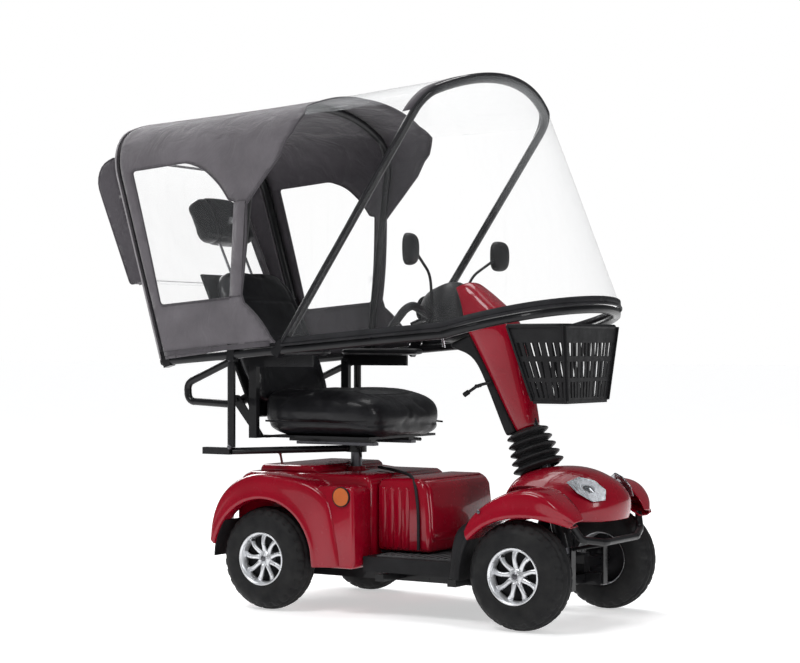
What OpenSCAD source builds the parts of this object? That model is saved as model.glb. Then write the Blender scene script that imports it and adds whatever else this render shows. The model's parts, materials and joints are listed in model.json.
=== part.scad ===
// Four-wheel mobility scooter with a weather canopy.
// +X is forward, +Y is left, +Z is up. Sub-parts are placed from the rear axle's plan position.

/* [Wheels] */
// Outside radius of a tyre
tyre_r = 165; // [160:1:168]
// Section radius of a tyre
tyre_section_r = 58; // [54:1:60]
// Radius at which the tyre sits on its rim
rim_r = 83; // [80:1:86]
// Distance between the axles
wheelbase = 910; // [900:1:920]
// Distance between the tyre middles on one axle
track = 584; // [580:1:590]
// Number of spokes in a rim
spokes = 10; // [5:1:12]

/* [Body] */
// Half width of the wheel arches
arch_y = 345; // [340:1:350]
// Radius of the cut-out round a rear wheel
rear_well_r = 192; // [188:1:198]
// Radius of the cut-out round a front wheel
front_well_r = 196; // [194:1:200]
// Wall of the moulded covers
wall = 3.5; // [3:0.5:4]

/* [Seat] */
// Position of the seat post forward of the rear axle
post_x = 139; // [130:1:150]
// Half width of the cushion
cushion_y = 235; // [220:1:240]
// Half width of the backrest
backrest_y = 225; // [210:1:230]
// Lean of the backrest from upright, in degrees
recline = 25; // [24:0.5:26]

/* [Tiller] */
// Lean of the tiller from upright, in degrees
tiller_lean = 21.3; // [20:0.1:22]
// Rake of the steering axis, in degrees
rake = 15; // [14:0.5:16]
// Half width of the handlebar
handle_y = 246; // [240:1:250]

/* [Canopy] */
// Half distance between the middles of the side tubes
canopy_y = 400; // [395:1:402]
// Radius of the hoop tubes
hoop_tube_r = 13; // [10:0.5:13]
// How far the canopy slopes up to the front, in degrees
canopy_slope = 4.5; // [4:0.1:5]
// Thickness of the fabric and of the clear sheet
sheet_t = 2; // [1.5:0.5:3]

/* [Hidden] */
$fn = 48;
rear_axle_x = -249.25;          // puts the middle of the whole object at X = 0
wheel_y = track / 2;
axle_r = 10;
bore_r = 10.06;                // running bore round an axle stub
weld_t = 0.4;                  // how far a weld ring stands off its tube
kingpin_y = 258;
kingpin_r = 8;
steer_top = [830, 0, 508];     // tilt pivot of the tiller
canopy_pivot = [-98, 0, 811];
red = "#b0052a";
black = "#1c1c1e";
grey = "#646066";
silver = "#c8cacd";

// ---------- shared shapes ----------
module from_rear_axle() { translate([rear_axle_x, 0, 0]) children(); }
module both_sides() { children(); mirror([0, 1, 0]) children(); }
module side(s) { if (s > 0) children(); else mirror([0, 1, 0]) children(); }
module rod_y(r, a, b) { translate([0, a, 0]) rotate([-90, 0, 0]) cylinder(h = b - a, r = r); }
module block(a, b) { translate(a) cube(b - a); }

function unit(v) = v / norm(v);
// A round tube along straight runs, with a true bend of radius bends[i] at each inner point
module pipe(p, bends, r) {
    n = len(p);
    turn = [for (i = [1 : n - 2]) acos(unit(p[i] - p[i - 1]) * unit(p[i + 1] - p[i]))];
    cut = [0, for (i = [0 : n - 3]) bends[i] * tan(turn[i] / 2), 0];
    for (i = [0 : n - 2]) {
        d = unit(p[i + 1] - p[i]);
        run = norm(p[i + 1] - p[i]) - cut[i] - cut[i + 1];
        if (run > 0.05)
            translate(p[i] + d * cut[i])
                rotate([0, acos(d[2]), atan2(d[1], d[0])]) cylinder(h = run, r = r);
    }
    for (i = [1 : n - 2]) {
        d = unit(p[i] - p[i - 1]);
        e = unit(p[i + 1] - p[i]);
        inward = unit(e - d * (d * e));
        start = p[i] - d * cut[i];
        middle = start + inward * bends[i - 1];
        x = -inward;
        z = cross(x, d);
        multmatrix([[x[0], d[0], z[0], middle[0]], [x[1], d[1], z[1], middle[1]],
                    [x[2], d[2], z[2], middle[2]], [0, 0, 0, 1]])
            rotate_extrude(angle = turn[i - 1], $fn = 144)
                translate([bends[i - 1], 0]) circle(r, $fn = 48);
        weld(start, d, r);
        weld(p[i] + e * cut[i], e, r);
    }
}
// The slight ring where a bend meets a straight run
module weld(at, along, r) {
    translate(at - along * 2) rotate([0, acos(along[2]), atan2(along[1], along[0])])
        cylinder(h = 4, r = r + weld_t);
}

// ---------- wheels ----------
module at_wheel(x, s) {
    from_rear_axle() side(s) translate([x, 0, tyre_r]) children();
}
module tyre(x, s) {
    color(black) at_wheel(x, s) translate([0, wheel_y, 0]) rotate([-90, 0, 0])
        rotate_extrude($fn = 96) intersection() {
            translate([tyre_r - tyre_section_r, 0]) circle(tyre_section_r);
            translate([rim_r, -tyre_section_r]) square([tyre_r - rim_r, 2 * tyre_section_r]);
        }
}
// driven rims carry their own half shaft
module rim(x, s, driven) {
    lip = wheel_y + 52;
    web = wheel_y + 28;
    color(silver) at_wheel(x, s) {
        difference() {
            union() {
                rotate([-90, 0, 0]) rotate_extrude($fn = 96)
                    polygon([[rim_r - 4, 242], [rim_r, 242], [rim_r, lip], [rim_r - 10, lip],
                             [rim_r - 10, lip - 5], [rim_r - 4, lip - 12]]);
                rod_y(24, 288, web + 8);
                for (a = [0 : 360 / spokes : 359])
                    rotate([0, a, 0]) block([18, web - 8, -5], [rim_r - 3, web, 5]);
            }
            if (!driven) rod_y(bore_r, 280, web + 3);
        }
        if (driven) rod_y(axle_r, 34, 290);
    }
}

// ---------- chassis ----------
module on_rake() { translate(steer_top) rotate([0, -rake, 0]) children(); }
module chassis_frame() {
    color(black) from_rear_axle() {
        difference() {
            union() {
                both_sides() block([-150, 90, 100], [985, 130, 135]);
                for (x = [-150, 110, 300, 700]) block([x, -92, 104], [x + 40, 92, 132]);
                // front axle beam with its two forked ends
                block([890, -92, 104], [930, 92, 132]);
                both_sides() {
                    block([892, 92, 134], [928, 130, 196]);
                    block([901, 128, 150], [924, 238, 180]);
                    block([896, 236, 184], [924, 272, 192]);
                    block([896, 236, 138], [924, 272, 146]);
                    block([901, 228, 138], [924, 238, 192]);
                    translate([wheelbase, kingpin_y, 138]) cylinder(h = 54, r = kingpin_r);
                }
                // steering head, held by a bridge over the axle beam
                on_rake() translate([0, 0, -300]) cylinder(h = 220, r = 27);
                block([860, -92, 238], [892, 92, 262]);
                both_sides() block([860, 92, 134], [891, 112, 262]);
                // seat post socket and its cross plates
                block([post_x - 40, -92, 132], [post_x + 40, 92, 140]);
                translate([post_x, 0, 132]) cylinder(h = 88, r = 30);
                // outriggers under the floor
                for (x = [380, 640]) both_sides() block([x, 128, 110], [x + 30, 262, 132]);
            }
            on_rake() translate([0, 0, -301]) cylinder(h = 222, r = 15.06);
            translate([post_x, 0, 150]) cylinder(h = 80, r = 19);
        }
    }
}
module transaxle() {
    color("#3a3c40") from_rear_axle() translate([0, 0, tyre_r]) {
        difference() {
            union() {
                rod_y(58, -46, 46);
                both_sides() rod_y(30, 46, 205);
                rotate([0, 90, 0]) translate([0, 0, 50]) cylinder(h = 40, r = 34);
            }
            both_sides() rod_y(bore_r, 33, 206);
        }
        both_sides() block([-22, 95, -29.8], [22, 125, -20]);
    }
}
module floor_pan() {
    color(black) from_rear_axle() difference() {
        union() {
            block([350, -285, 142], [706, 285, 188]);
            both_sides() block([706, 0, 142], [712, 222, 210]);
        }
        block([354, -281, 141], [702, 281, 184]);
    }
}
module floor_mat() {
    color("#4a4a4c") from_rear_axle() {
        block([388, -265, 188], [700, 265, 192]);
        for (i = [0 : 12]) block([396 + i * 24, -255, 192], [408 + i * 24, 255, 195]);
    }
}
module batteries() {
    color("#2b2d31") from_rear_axle() both_sides() block([215, 5, 190], [380, 170, 350]);
}
module controller() {
    color(black) from_rear_axle() {
        block([-120, -70, 250], [80, 70, 310]);
        block([-100, -60, 310], [60, 60, 316]);
    }
}

// ---------- rear body ----------
// t shrinks every face inward, so the same solid makes the outside and the hollow
module rear_volume(t) {
    block([-180 + t, -232 + t, 137], [346 - t, 232 - t, 436 - t]);
    block([-110 + t, -205 + t, 430], [120 - t, 205 - t, 458 - t]);
    both_sides() {
        translate([45, 0, 205]) rod_y(240 - t, 228, arch_y - t);
        block([150, 228, 137], [346 - t, 330 - t, 405 - t]);
    }
}
module rear_body() {
    color(red) from_rear_axle() difference() {
        rear_volume(0);
        rear_volume(wall);
        block([-300, -400, -100], [400, 400, 150]);
        both_sides() {
            translate([0, 0, tyre_r]) rod_y(rear_well_r, 233, 400);
            translate([0, 0, tyre_r]) rod_y(40, 200, 240);
            block([-300, 233, -100], [0, 400, 215]);
            block([0, 233, -100], [201, 400, 150]);
        }
        block([210, -175, 149], [400, 175, 500]);
        translate([post_x, 0, 400]) cylinder(h = 100, r = 46);
        block([-72, -160, 440], [-34, -140, 470]);
    }
}
module battery_cover() {
    color(red) from_rear_axle() difference() {
        union() {
            block([347, -200, 196], [545, 200, 430]);
            block([213, -174, 352], [348, 174, 430]);
            for (i = [0 : 2], s = [-1, 1])
                block([385 + i * 42, s > 0 ? 198 : -204, 215],
                      [395 + i * 42, s > 0 ? 204 : -198, 355]);
        }
        block([346, -200 + wall, 195], [545 - wall, 200 - wall, 430 - wall]);
        block([212, -174 + wall, 351], [349, 174 - wall, 430 - wall]);
        rotate([0, 9, 0]) block([478, -250, 150], [700, 250, 700]);
    }
}
module post_collar() {
    color(red) from_rear_axle() translate([post_x, 0, 412]) difference() {
        union() {
            cylinder(h = 26, r = 44);
            cylinder(h = 36, r = 32);
        }
        translate([0, 0, -1]) cylinder(h = 60, r = 18.6);
    }
}
module seat_post() {
    color("#303236") from_rear_axle() translate([post_x, 0, 151]) cylinder(h = 371, r = 18.4);
}
module freewheel_lever() {
    color("#7a0a1c") from_rear_axle() translate([-53, -150, 452]) {
        rod_y(5, -6, 6);
        rotate([0, -14, 0]) cylinder(h = 42, r = 4);
        rotate([0, -14, 0]) translate([0, 0, 36]) cylinder(h = 9, r = 6);
    }
}
module reflectors() {
    color("#c8600a") from_rear_axle() {
        both_sides() translate([300, 330.2, 373]) rotate([-90, 0, 0]) cylinder(h = 6, r = 28);
        both_sides() translate([-180.2, 160, 385]) rotate([0, -90, 0]) cylinder(h = 14, r = 24);
    }
}
module accessory_receiver() {
    color(black) from_rear_axle() difference() {
        block([-235, -22, 104], [-151, 22, 148]);
        block([-236, -17, 109], [-156, 17, 143]);
        translate([-205, 0, 126]) rod_y(6.5, -30, 30);
    }
}
module mud_flaps() {
    color(black) from_rear_axle() {
        both_sides() translate([wheelbase, 0, tyre_r]) rotate([-90, 0, 0]) translate([0, 0, 236])
            rotate([0, 0, 180]) rotate_extrude(angle = 50)
                translate([front_well_r + 1, 0]) square([5, 104]);
        both_sides() translate([0, 0, tyre_r]) rotate([-90, 0, 0]) translate([0, 0, 236])
            rotate([0, 0, 180]) rotate_extrude(angle = 38)
                translate([rear_well_r - 5, 0]) square([4, 100]);
    }
}

// ---------- nose ----------
module nose_volume(t) {
    hull() {
        block([770 + t, -130 + t, 200], [860, 130 - t, 430 - t]);
        translate([870, 0, 250]) cylinder(h = 225 - t, r1 = 150 - t, r2 = 75 - t);
        translate([1010, 0, 300]) cylinder(h = 150 - t, r1 = 108 - t, r2 = 40 - t);
    }
    both_sides() difference() {
        translate([wheelbase, 0, tyre_r]) rod_y(243 - t, 130, arch_y - t);
        block([wheelbase - 300, 100, -100], [wheelbase + 400, 400, 205]);
        block([wheelbase + 120, 100, 200], [wheelbase + 400, 400, 318]);
    }
}
module nose_shell() {
    color(red) from_rear_axle() difference() {
        nose_volume(0);
        nose_volume(wall);
        both_sides() translate([wheelbase, 0, tyre_r]) rod_y(front_well_r, 156, 400);
        block([600, -400, -100], [1200, 400, 201]);
        both_sides() translate([wheelbase, 0, tyre_r]) rod_y(60, 100, 200);
        translate([830, 0, 420]) cylinder(h = 90, r = 66);
        block([790, -120, 190], [1000, 120, 252]);
        both_sides() translate([1030, 88, 400]) rotate([0, 35, 30]) cube([80, 62, 50], center = true);
    }
}
module headlights() {
    color("#e8eef2") from_rear_axle() both_sides() intersection() {
        hull() {
            translate([870, 0, 250]) cylinder(h = 224, r1 = 149, r2 = 74);
            translate([1010, 0, 300]) cylinder(h = 149, r1 = 107, r2 = 39);
        }
        translate([1030, 88, 400]) rotate([0, 35, 30]) cube([78, 60, 48], center = true);
    }
}
module front_bumper() {
    color(black) from_rear_axle() {
        pipe([[1046, -235, 318], [1066, -205, 270], [1098, -110, 256], [1098, 110, 256],
              [1066, 205, 270], [1046, 235, 318]], [30, 60, 60, 30], 11);
        both_sides() block([985.2, 96, 104], [992, 124, 236]);
        both_sides() pipe([[988, 110, 229], [1093, 110, 250]], [], 6);
    }
}

// ---------- steering ----------
module steering_column() {
    color("#55585c") from_rear_axle() {
        on_rake() {
            translate([0, 0, -318]) cylinder(h = 292, r = 15);
            translate([0, 0, -78]) cylinder(h = 6, r = 26);
            translate([0, 0, -27]) block([-22, -30, 0], [22, 30, 6]);
            translate([0, 0, -27]) both_sides() block([-12, 24, 4], [12, 30, 34]);
            translate([0, 0, -318]) block([-60, -12, -8], [15, 12, 0]);
        }
        translate(steer_top) rod_y(8, -30, 30);
    }
}
module knuckle(s) {
    color("#55585c") from_rear_axle() side(s) {
        translate([wheelbase, kingpin_y, 147]) difference() {
            union() {
                cylinder(h = 36, r = 15);
                block([-56, -13, 4], [0, -5, 16]);
            }
            translate([0, 0, -1]) cylinder(h = 40, r = kingpin_r + 0.06);
        }
        translate([wheelbase, 0, tyre_r]) difference() {
            rod_y(axle_r, kingpin_y, wheel_y + 28);
            translate([0, kingpin_y, -30]) cylinder(h = 60, r = kingpin_r + 0.06);
        }
    }
}
module on_tiller() { from_rear_axle() translate(steer_top) rotate([0, -tiller_lean, 0]) children(); }
module bellows() {
    rings = 5;
    pitch = 19;
    color(black) on_tiller() translate([0, 0, -6]) rotate_extrude()
        polygon([for (i = [0 : rings - 1], q = [[57, 0], [76 - i, 5], [76 - i, 10], [57, 15]])
                     [q[0], i * pitch + q[1]],
                 for (i = [rings - 1 : -1 : 0], q = [[54, 15], [73 - i, 10], [73 - i, 5], [54, 0]])
                     [q[0], i * pitch + q[1]]]);
}
module tiller_tube() {
    color("#55585c") on_tiller() difference() {
        union() {
            rod_y(17, -23, 23);
            translate([0, 0, 14]) cylinder(h = 416, r = 17);
            block([-92, -20, 420], [17, 20, 428]);
            // arm that carries the basket
            block([12, -14, 340], [62, 14, 352]);
            block([12, -14, 200], [62, 14, 212]);
        }
        rod_y(8.06, -24, 24);
    }
}
// rounded across the front and square at the back, t in from the outside
module cover_section(z, back, front, half, t) {
    r = min(half, 30) - t;
    translate([0, 0, z]) linear_extrude(0.5) hull() both_sides() {
        translate([front - t - r, half - t - r]) circle(r);
        translate([back, half - t - 4]) square(4);
    }
}
module tiller_cover_front() {
    color(red) on_tiller() difference() {
        hull() {
            cover_section(92, -46, 38, 46, 0);
            cover_section(420, -84, 42, 62, 0);
            cover_section(541, -104, -9, 54, 0);
        }
        hull() {
            cover_section(91, -200, 38, 46, wall);
            cover_section(420, -200, 42, 62, wall);
            cover_section(536, -200, -9, 54, wall);
        }
        block([20, -15, 330], [80, 15, 362]);
        block([20, -15, 190], [80, 15, 222]);
    }
}
module tiller_cover_rear() {
    color(black) on_tiller() difference() {
        hull() {
            block([-102, -38, 94], [-50, 38, 96]);
            block([-136, -50, 376], [-92, 50, 378]);
            block([-178, -46, 430], [-92, 46, 436]);
        }
        hull() {
            block([-98, -34, 90], [-40, 34, 96]);
            block([-132, -46, 376], [-84, 46, 378]);
            block([-172, -42, 430], [-84, 42, 440]);
        }
        translate([-112, 0, 267]) rod_y(4.2, -60, 0);
    }
}
module console() {
    color(black) on_tiller() difference() {
        hull() {
            block([-180, -70, 441], [-97, 70, 443]);
            block([-236, -100, 520], [-112, 100, 522]);
            block([-205, -60, 600], [-110, 60, 622]);
        }
        hull() {
            block([-175, -65, 440], [-102, 65, 443]);
            block([-231, -95, 520], [-117, 95, 522]);
            block([-200, -55, 592], [-115, 55, 617]);
        }
        translate([-190, 0, 508]) rod_y(6.5, -120, 120);
    }
}
module handlebar() {
    color(black) on_tiller() both_sides()
        pipe([[-170, 101, 530], [-150, handle_y - 14, 560], [-250, handle_y, 500],
              [-262, 150, 500], [-200, 101, 488]], [34, 34, 30, 26], 13);
}
module throttle_lever() {
    color(black) on_tiller() {
        translate([-190, 0, 508]) rod_y(5, -86, 86);
        both_sides() translate([-190, 0, 508]) {
            block([-4, 105, -4], [4, 190, 4]);
            rod_y(5, 80, 108);
            block([-4, 150, -4], [34, 190, 4]);
        }
    }
}
module tilt_lever() {
    color(black) on_tiller() translate([-112, 0, 267]) {
        rod_y(4, -52, -35);
        rotate([0, -100, 0]) translate([0, -58, 0]) cylinder(h = 46, r = 5);
        rod_y(6, -64, -50.5);
        rotate([0, -100, 0]) translate([0, -58, 36]) cylinder(h = 18, r = 8);
    }
}
module ignition_key() {
    color(silver) on_tiller() translate([-150, -86, 470]) {
        rotate([90, 0, 0]) cylinder(h = 6, r = 9);
        rotate([90, 0, 0]) cylinder(h = 20, r = 3);
        block([-12, -34, -1.5], [12, -18, 1.5]);
    }
}
module side_mirror(s) {
    color(black) on_tiller() side(s) {
        pipe([[-150, 96, 560], [-100, 130, 640], [-60, 250, 690]], [40], 4);
        translate([-56, 283, 700]) rotate([0, tiller_lean + 4, -8]) {
            difference() {
                hull() {
                    translate([8, 0, 10]) rotate([0, 90, 0]) cylinder(h = 6, r = 34, $fn = 32);
                    translate([-12, 0, 0]) rotate([0, 90, 0]) cylinder(h = 4, r = 45, $fn = 32);
                }
                translate([-13, 0, 0]) rotate([0, 90, 0]) cylinder(h = 3, r = 41);
            }
            translate([-12.5, 0, 0]) rotate([0, 90, 0]) cylinder(h = 2.5, r = 41);
        }
    }
}
module basket_walls(t) {
    hull() {
        block([868 + t, -140 + t, 672 + t], [985 - t, 140 - t, 674 + t]);
        block([804 + t, -185 + t, 902], [1000 - t, 185 - t, t > 0 ? 920 : 906]);
    }
}
module basket() {
    color(black) from_rear_axle() {
        difference() {
            basket_walls(0);
            basket_walls(4);
            for (i = [-3 : 3], z = [700, 760, 820])
                block([780, i * 38 - 13, z], [1100, i * 38 + 13, z + 44]);
            for (i = [0 : 2], z = [700, 760, 820])
                block([886 + i * 34, -300, z], [908 + i * 34, 300, z + 44]);
        }
        difference() {
            hull() {
                block([798, -191, 896], [1006, 191, 908]);
            }
            block([810, -180, 890], [994, 180, 920]);
        }
    }
}

// ---------- seat ----------
module canopy_mount() {
    color(black) from_rear_axle() {
        translate([post_x, 0, 494]) difference() {
            cylinder(h = 24, r = 34);
            translate([0, 0, -1]) cylinder(h = 40, r = 18.6);
        }
        difference() {
            both_sides() pipe([[post_x, 0, 506], [-98, 368, 506]], [], 11);
            translate([post_x, 0, 480]) cylinder(h = 60, r = 33);
        }
        both_sides() block([-206, 356, 495], [-98, 380, 517]);
    }
}
module side_frames() {
    color(black) from_rear_axle() both_sides() difference() {
        union() {
            pipe([[-98, 368, 518], [-98, 368, 812]], [], 13);
            pipe([[-100, 368, 795], [-276, 368, 722], [-272, 368, 664], [-100, 368, 656]], [30, 26], 12);
            translate([-98, 0, 811]) rod_y(17, 358, 380);
        }
        translate([-98, 0, 811]) rod_y(6.06, 350, 390);
    }
}
module swivel_base() {
    color("#303236") from_rear_axle() {
        translate([post_x, 0, 522.4]) difference() {
            union() {
                cylinder(h = 8, r = 70);
                both_sides() block([-150, 100, 0], [150, 130, 9]);
                block([-30, -110, 0], [30, 110, 8]);
            }
            translate([0, 0, -1]) cylinder(h = 12, r = 8);
        }
    }
}
module swivel_lever() {
    color(black) from_rear_axle() translate([post_x + 45, -60, 515]) {
        rod_y(5.5, -14, 14);
        rotate([0, 160, 0]) cylinder(h = 36, r = 4);
    }
}
module slide_lever() {
    color(black) from_rear_axle()
        pipe([[post_x + 20, 138, 538], [post_x + 66, 138, 538], [post_x + 96, 248, 528]], [14], 6);
}
module seat_pan() {
    color(black) from_rear_axle() {
        block([-60, -205, 545], [320, 205, 553]);
        both_sides() block([-40, 100, 532], [280, 130, 545]);
        both_sides() {
            // backrest hinge ears
            difference() {
                union() {
                    translate([0, 235, 0]) rotate([90, 0, 0]) linear_extrude(6)
                        polygon([[-96, 545], [-66, 545], [-164, 676], [-190, 656]]);
                    translate([fold_x, 0, fold_z]) rod_y(17, 229, 235);
                }
                translate([fold_x, 0, fold_z]) rod_y(6.06, 220, 240);
            }
            block([-96, 200, 545], [-50, 236, 553]);
            // armrest posts
            block([-96, 212, 545], [-66, 278, 553]);
            difference() {
                block([-96, 260, 545], [-66, 278, 800]);
                translate([-81, 0, 788]) rod_y(5.06, 250, 290);
            }
        }
    }
}
fold_at = [-58, 110];          // backrest hinge, back and up in the backrest's own frame
fold_x = -78 + fold_at[0] * cos(recline) - fold_at[1] * sin(recline);
fold_z = 590 + fold_at[0] * sin(recline) + fold_at[1] * cos(recline);
rod_x = -20;                   // headrest rods, across and forward in the backrest
rod_y_at = 59;
module on_back() { from_rear_axle() translate([-78, 0, 590]) rotate([0, -recline, 0]) children(); }
module backrest_shell() {
    color(black) on_back() {
        translate([fold_at[0], 0, fold_at[1]]) both_sides() {
            rod_y(6, 194, 240);
            block([-11, 190, -14], [17, 205, 14]);
        }
        difference() {
            block([-42, -205, 40], [-34, 205, 560]);
            both_sides() translate([-60, 52, 500]) cube([40, 14.4, 80]);
        }
    }
}
module backrest_cushion() {
    color("#26262a") on_back() difference() {
        hull() {
        for (y = [-1, 1]) {
            translate([2, y * (backrest_y - 34), 110]) sphere(34, $fn = 20);
            translate([6, y * (backrest_y - 34), 400]) sphere(38 - 4, $fn = 20);
            translate([2, y * (backrest_y - 75), 528]) sphere(34, $fn = 20);
        }
        }
        both_sides() translate([rod_x, rod_y_at, 415]) cylinder(h = 200, r = 6.5);
    }
}
module headrest_rods() {
    color(silver) on_back() both_sides()
        translate([rod_x, rod_y_at, 430]) cylinder(h = 280, r = 5);
}
module headrest_cushion() {
    color("#26262a") on_back() difference() {
        hull() for (y = [-1, 1], z = [698, 822])
            translate([-22, y * 98, z]) sphere(32, $fn = 24);
        both_sides() translate([rod_x, rod_y_at, 660]) cylinder(h = 52, r = 5.3);
    }
}
module seat_cushion() {
    color("#26262a") from_rear_axle() hull() {
        for (y = [-1, 1]) {
            translate([-20, y * (cushion_y - 52), 622]) sphere(52, $fn = 20);
            translate([120, y * (cushion_y - 60), 636]) sphere(60, $fn = 20);
            translate([308, y * (cushion_y - 62), 620]) sphere(62, $fn = 20);
            translate([0, y * 170, 554.2]) cylinder(h = 4, r = 40, $fn = 20);
            translate([290, y * 160, 554.2]) cylinder(h = 4, r = 60, $fn = 20);
        }
    }
}
module armrest(s) {
    color(black) from_rear_axle() side(s) {
        translate([-81, 0, 788]) rod_y(5, 255, 284);
        block([-100, 279, 776], [160, 289, 812]);
    }
}
module armrest_pad(s) {
    color("#26262a") from_rear_axle() side(s) hull()
        for (x = [-80, 200], y = [262, 300])
            translate([x, y, 812.2]) cylinder(h = 24, r = 16, $fn = 24);
}

// ---------- canopy ----------
module on_canopy() {
    from_rear_axle() translate(canopy_pivot) rotate([0, -canopy_slope, 0]) children();
}
// A hoop: [foot, lean, leg, corner radius, corner angle]
rear_hoop = [-233, -12.4, 635, 173, 70];
mid_hoop = [28, 11.4, 630, 140, 67];
front_hoop = [210, 39.1, 872, 90, 64.7];
function crown_r(h, w) = (w - h[3] * (1 - cos(h[4]))) / cos(h[4]);
function lift(h, s, y) = [h[0] + s * sin(h[1]), y, s * cos(h[1])];
module hoop(h) {
    w = canopy_y;
    corner = h[2] + h[3] * tan(h[4] / 2);
    top = corner + w / tan(h[4]);
    pipe([lift(h, 10, -w), lift(h, corner, -w), lift(h, top, 0), lift(h, corner, w), lift(h, 10, w)],
         [h[3], crown_r(h, w), h[3]], hoop_tube_r);
    // clamps that hold the feet on the rail
    both_sides() translate([h[0], w, 0]) rotate([0, h[1], 0])
        block([-13.9, -13.9, -18], [13.9, 13.9, 34]);
}
// How far out in the plane of a hoop a sheet lies that clears its tube by t, at the angle a round
// the hoop, where the plane is `back` behind the hoop and the sheet stands at f to it
function spread(t, back, f, a) =
    (t + back * sin(a) * sin(f)) / (pow(cos(a), 2) + pow(sin(a), 2) * cos(f));
corner_steps = 8;
// Half outline of a hoop's sheet, from the foot to the crown, as [height along the hoop, y]
function half_arch(h, t, back, f) =
    let(r = h[3], w = canopy_y, R = crown_r(h, w), top = h[2] + r * sin(h[4]) - R * sin(h[4]))
    concat([[0, w + t]],
           [for (i = [0 : corner_steps - 1]) let(a = h[4] * i / corner_steps, q = r + spread(t, back, f, a))
               [h[2] + q * sin(a), w - r + q * cos(a)]],
           [for (i = [0 : 5]) let(a = h[4] + (90 - h[4]) * i / 5, q = R + spread(t, back, f, a))
               [top + q * sin(a), q * cos(a)]]);
module arch_slab(h, t, back, f) {
    half = half_arch(h, t, back, f);
    outline = concat(half, [for (i = [len(half) - 1 : -1 : 0]) [half[i][0], -half[i][1]]]);
    translate([h[0], 0, 0]) rotate([0, h[1], 0]) translate([-back, 0, 0])
        rotate([0, -90, 0]) linear_extrude(0.2) polygon(outline);
}
bow = [809, 176, 288, 60];     // where it starts, run to the corner, corner radius, corner angle
bow_rise = 9.4;
function bow_point(s, y) = [bow[0] + s * cos(bow_rise), y, 2 + s * sin(bow_rise)];
module canopy_rail() {
    w = canopy_y;
    corner = bow[1];
    tip = corner + w / tan(bow[3]);
    reach = (w - bow[2] * (1 - cos(bow[3]))) / cos(bow[3]);
    pipe([[-256, -w, 1], [bow[0], -w, 2], bow_point(corner, -w), bow_point(tip, 0),
          bow_point(corner, w), [bow[0], w, 2], [-256, w, 1]],
         [50, bow[2], reach, bow[2], 50], 13.6);
}
function half_bow(t) = let(c = bow[1] - bow[2] * tan(bow[3] / 2), r = bow[2] + t,
                           R = (canopy_y - bow[2] * (1 - cos(bow[3]))) / cos(bow[3]),
                           m = c + bow[2] * sin(bow[3]) - R * sin(bow[3]))
    concat([[-10, canopy_y + t]],
           [for (a = [0 : 12 : bow[3] - 1]) [c + r * sin(a), canopy_y + t - r * (1 - cos(a))]],
           [for (i = [0 : 4]) let(a = bow[3] + (90 - bow[3]) * i / 5)
                [m + (R + t) * sin(a), (R + t) * cos(a)]]);
module bow_slab(t, z) {
    half = half_bow(t);
    translate([bow[0], 0, 2 + z]) rotate([0, -bow_rise, 0]) linear_extrude(0.2)
        polygon(concat(half, [for (i = [len(half) - 1 : -1 : 0]) [half[i][0], -half[i][1]]]));
}
sheet_in = 14.8;               // clear of the tubes
roof_fall = 1.2;               // of the roof towards the front, against the rail
screen_face = 15;              // between the front hoop and the windscreen
module tunnel(t, back, ahead) {
    hull() {
        arch_slab(rear_hoop, t, back, roof_fall - rear_hoop[1]);
        arch_slab(front_hoop, t, -ahead, roof_fall - front_hoop[1]);
    }
}
module tunnel_skin() {
    difference() {
        tunnel(sheet_in + sheet_t, sheet_in + sheet_t, 2);
        tunnel(sheet_in, sheet_in, 8);
    }
}
module side_mask(points) { rotate([90, 0, 0]) linear_extrude(1000, center = true) polygon(points); }
window_outline = [[-238, 181], [44, 181], [88, 488], [62, 492], [30, 545], [-30, 605], [-99, 634], [-324, 634]];
module canopy_frame() {
    color(black) on_canopy() {
        canopy_rail();
        hoop(rear_hoop);
        hoop(mid_hoop);
        hoop(front_hoop);
        both_sides() rod_y(6, 354, 398);
    }
}
module canopy_cover() {
    color(grey) on_canopy() difference() {
        tunnel_skin();
        side_mask(window_outline);
        side_mask([[88, 190], [200, 30], [200, 8], [1200, 8], [1200, 1200], [361, 1200],
                   [361, 733], [300, 640], [220, 560], [150, 500], [128, 470]]);
        side_mask([[-600, -60], [1200, -60], [1200, 18], [-600, 24]]);
        rear_prism(2, 24, 702, 10, 20);
    }
}
module canopy_windows() {
    color([0.9, 0.93, 0.95, 0.4]) on_canopy() intersection() {
        tunnel_skin();
        side_mask([for (p = window_outline) [-100 + (p[0] + 100) * 0.997, 400 + (p[1] - 400) * 0.997]]);
        difference() {
            translate([-400, -500, 0]) cube([800, 1000, 700]);
            translate([-600, -300, 0]) cube([1000, 600, 900]);
        }
    }
    color([0.9, 0.93, 0.95, 0.4]) on_canopy() {
        rear_prism(1.6, 30, 276, 14.8, 16.8);
        intersection() {
            hood_shell();
            rear_prism(-45.3, 318.3, 625.7, 40, 140);
        }
    }
}
module screen_volume(t, back, drop) {
    hull() {
        arch_slab(front_hoop, t, back, screen_face);
        bow_slab(t, 15 + drop);
        both_sides() block([222 - 2 * back, 0, 16 + drop], [bow[0], canopy_y + t, 16.2 + drop]);
    }
}
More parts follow.
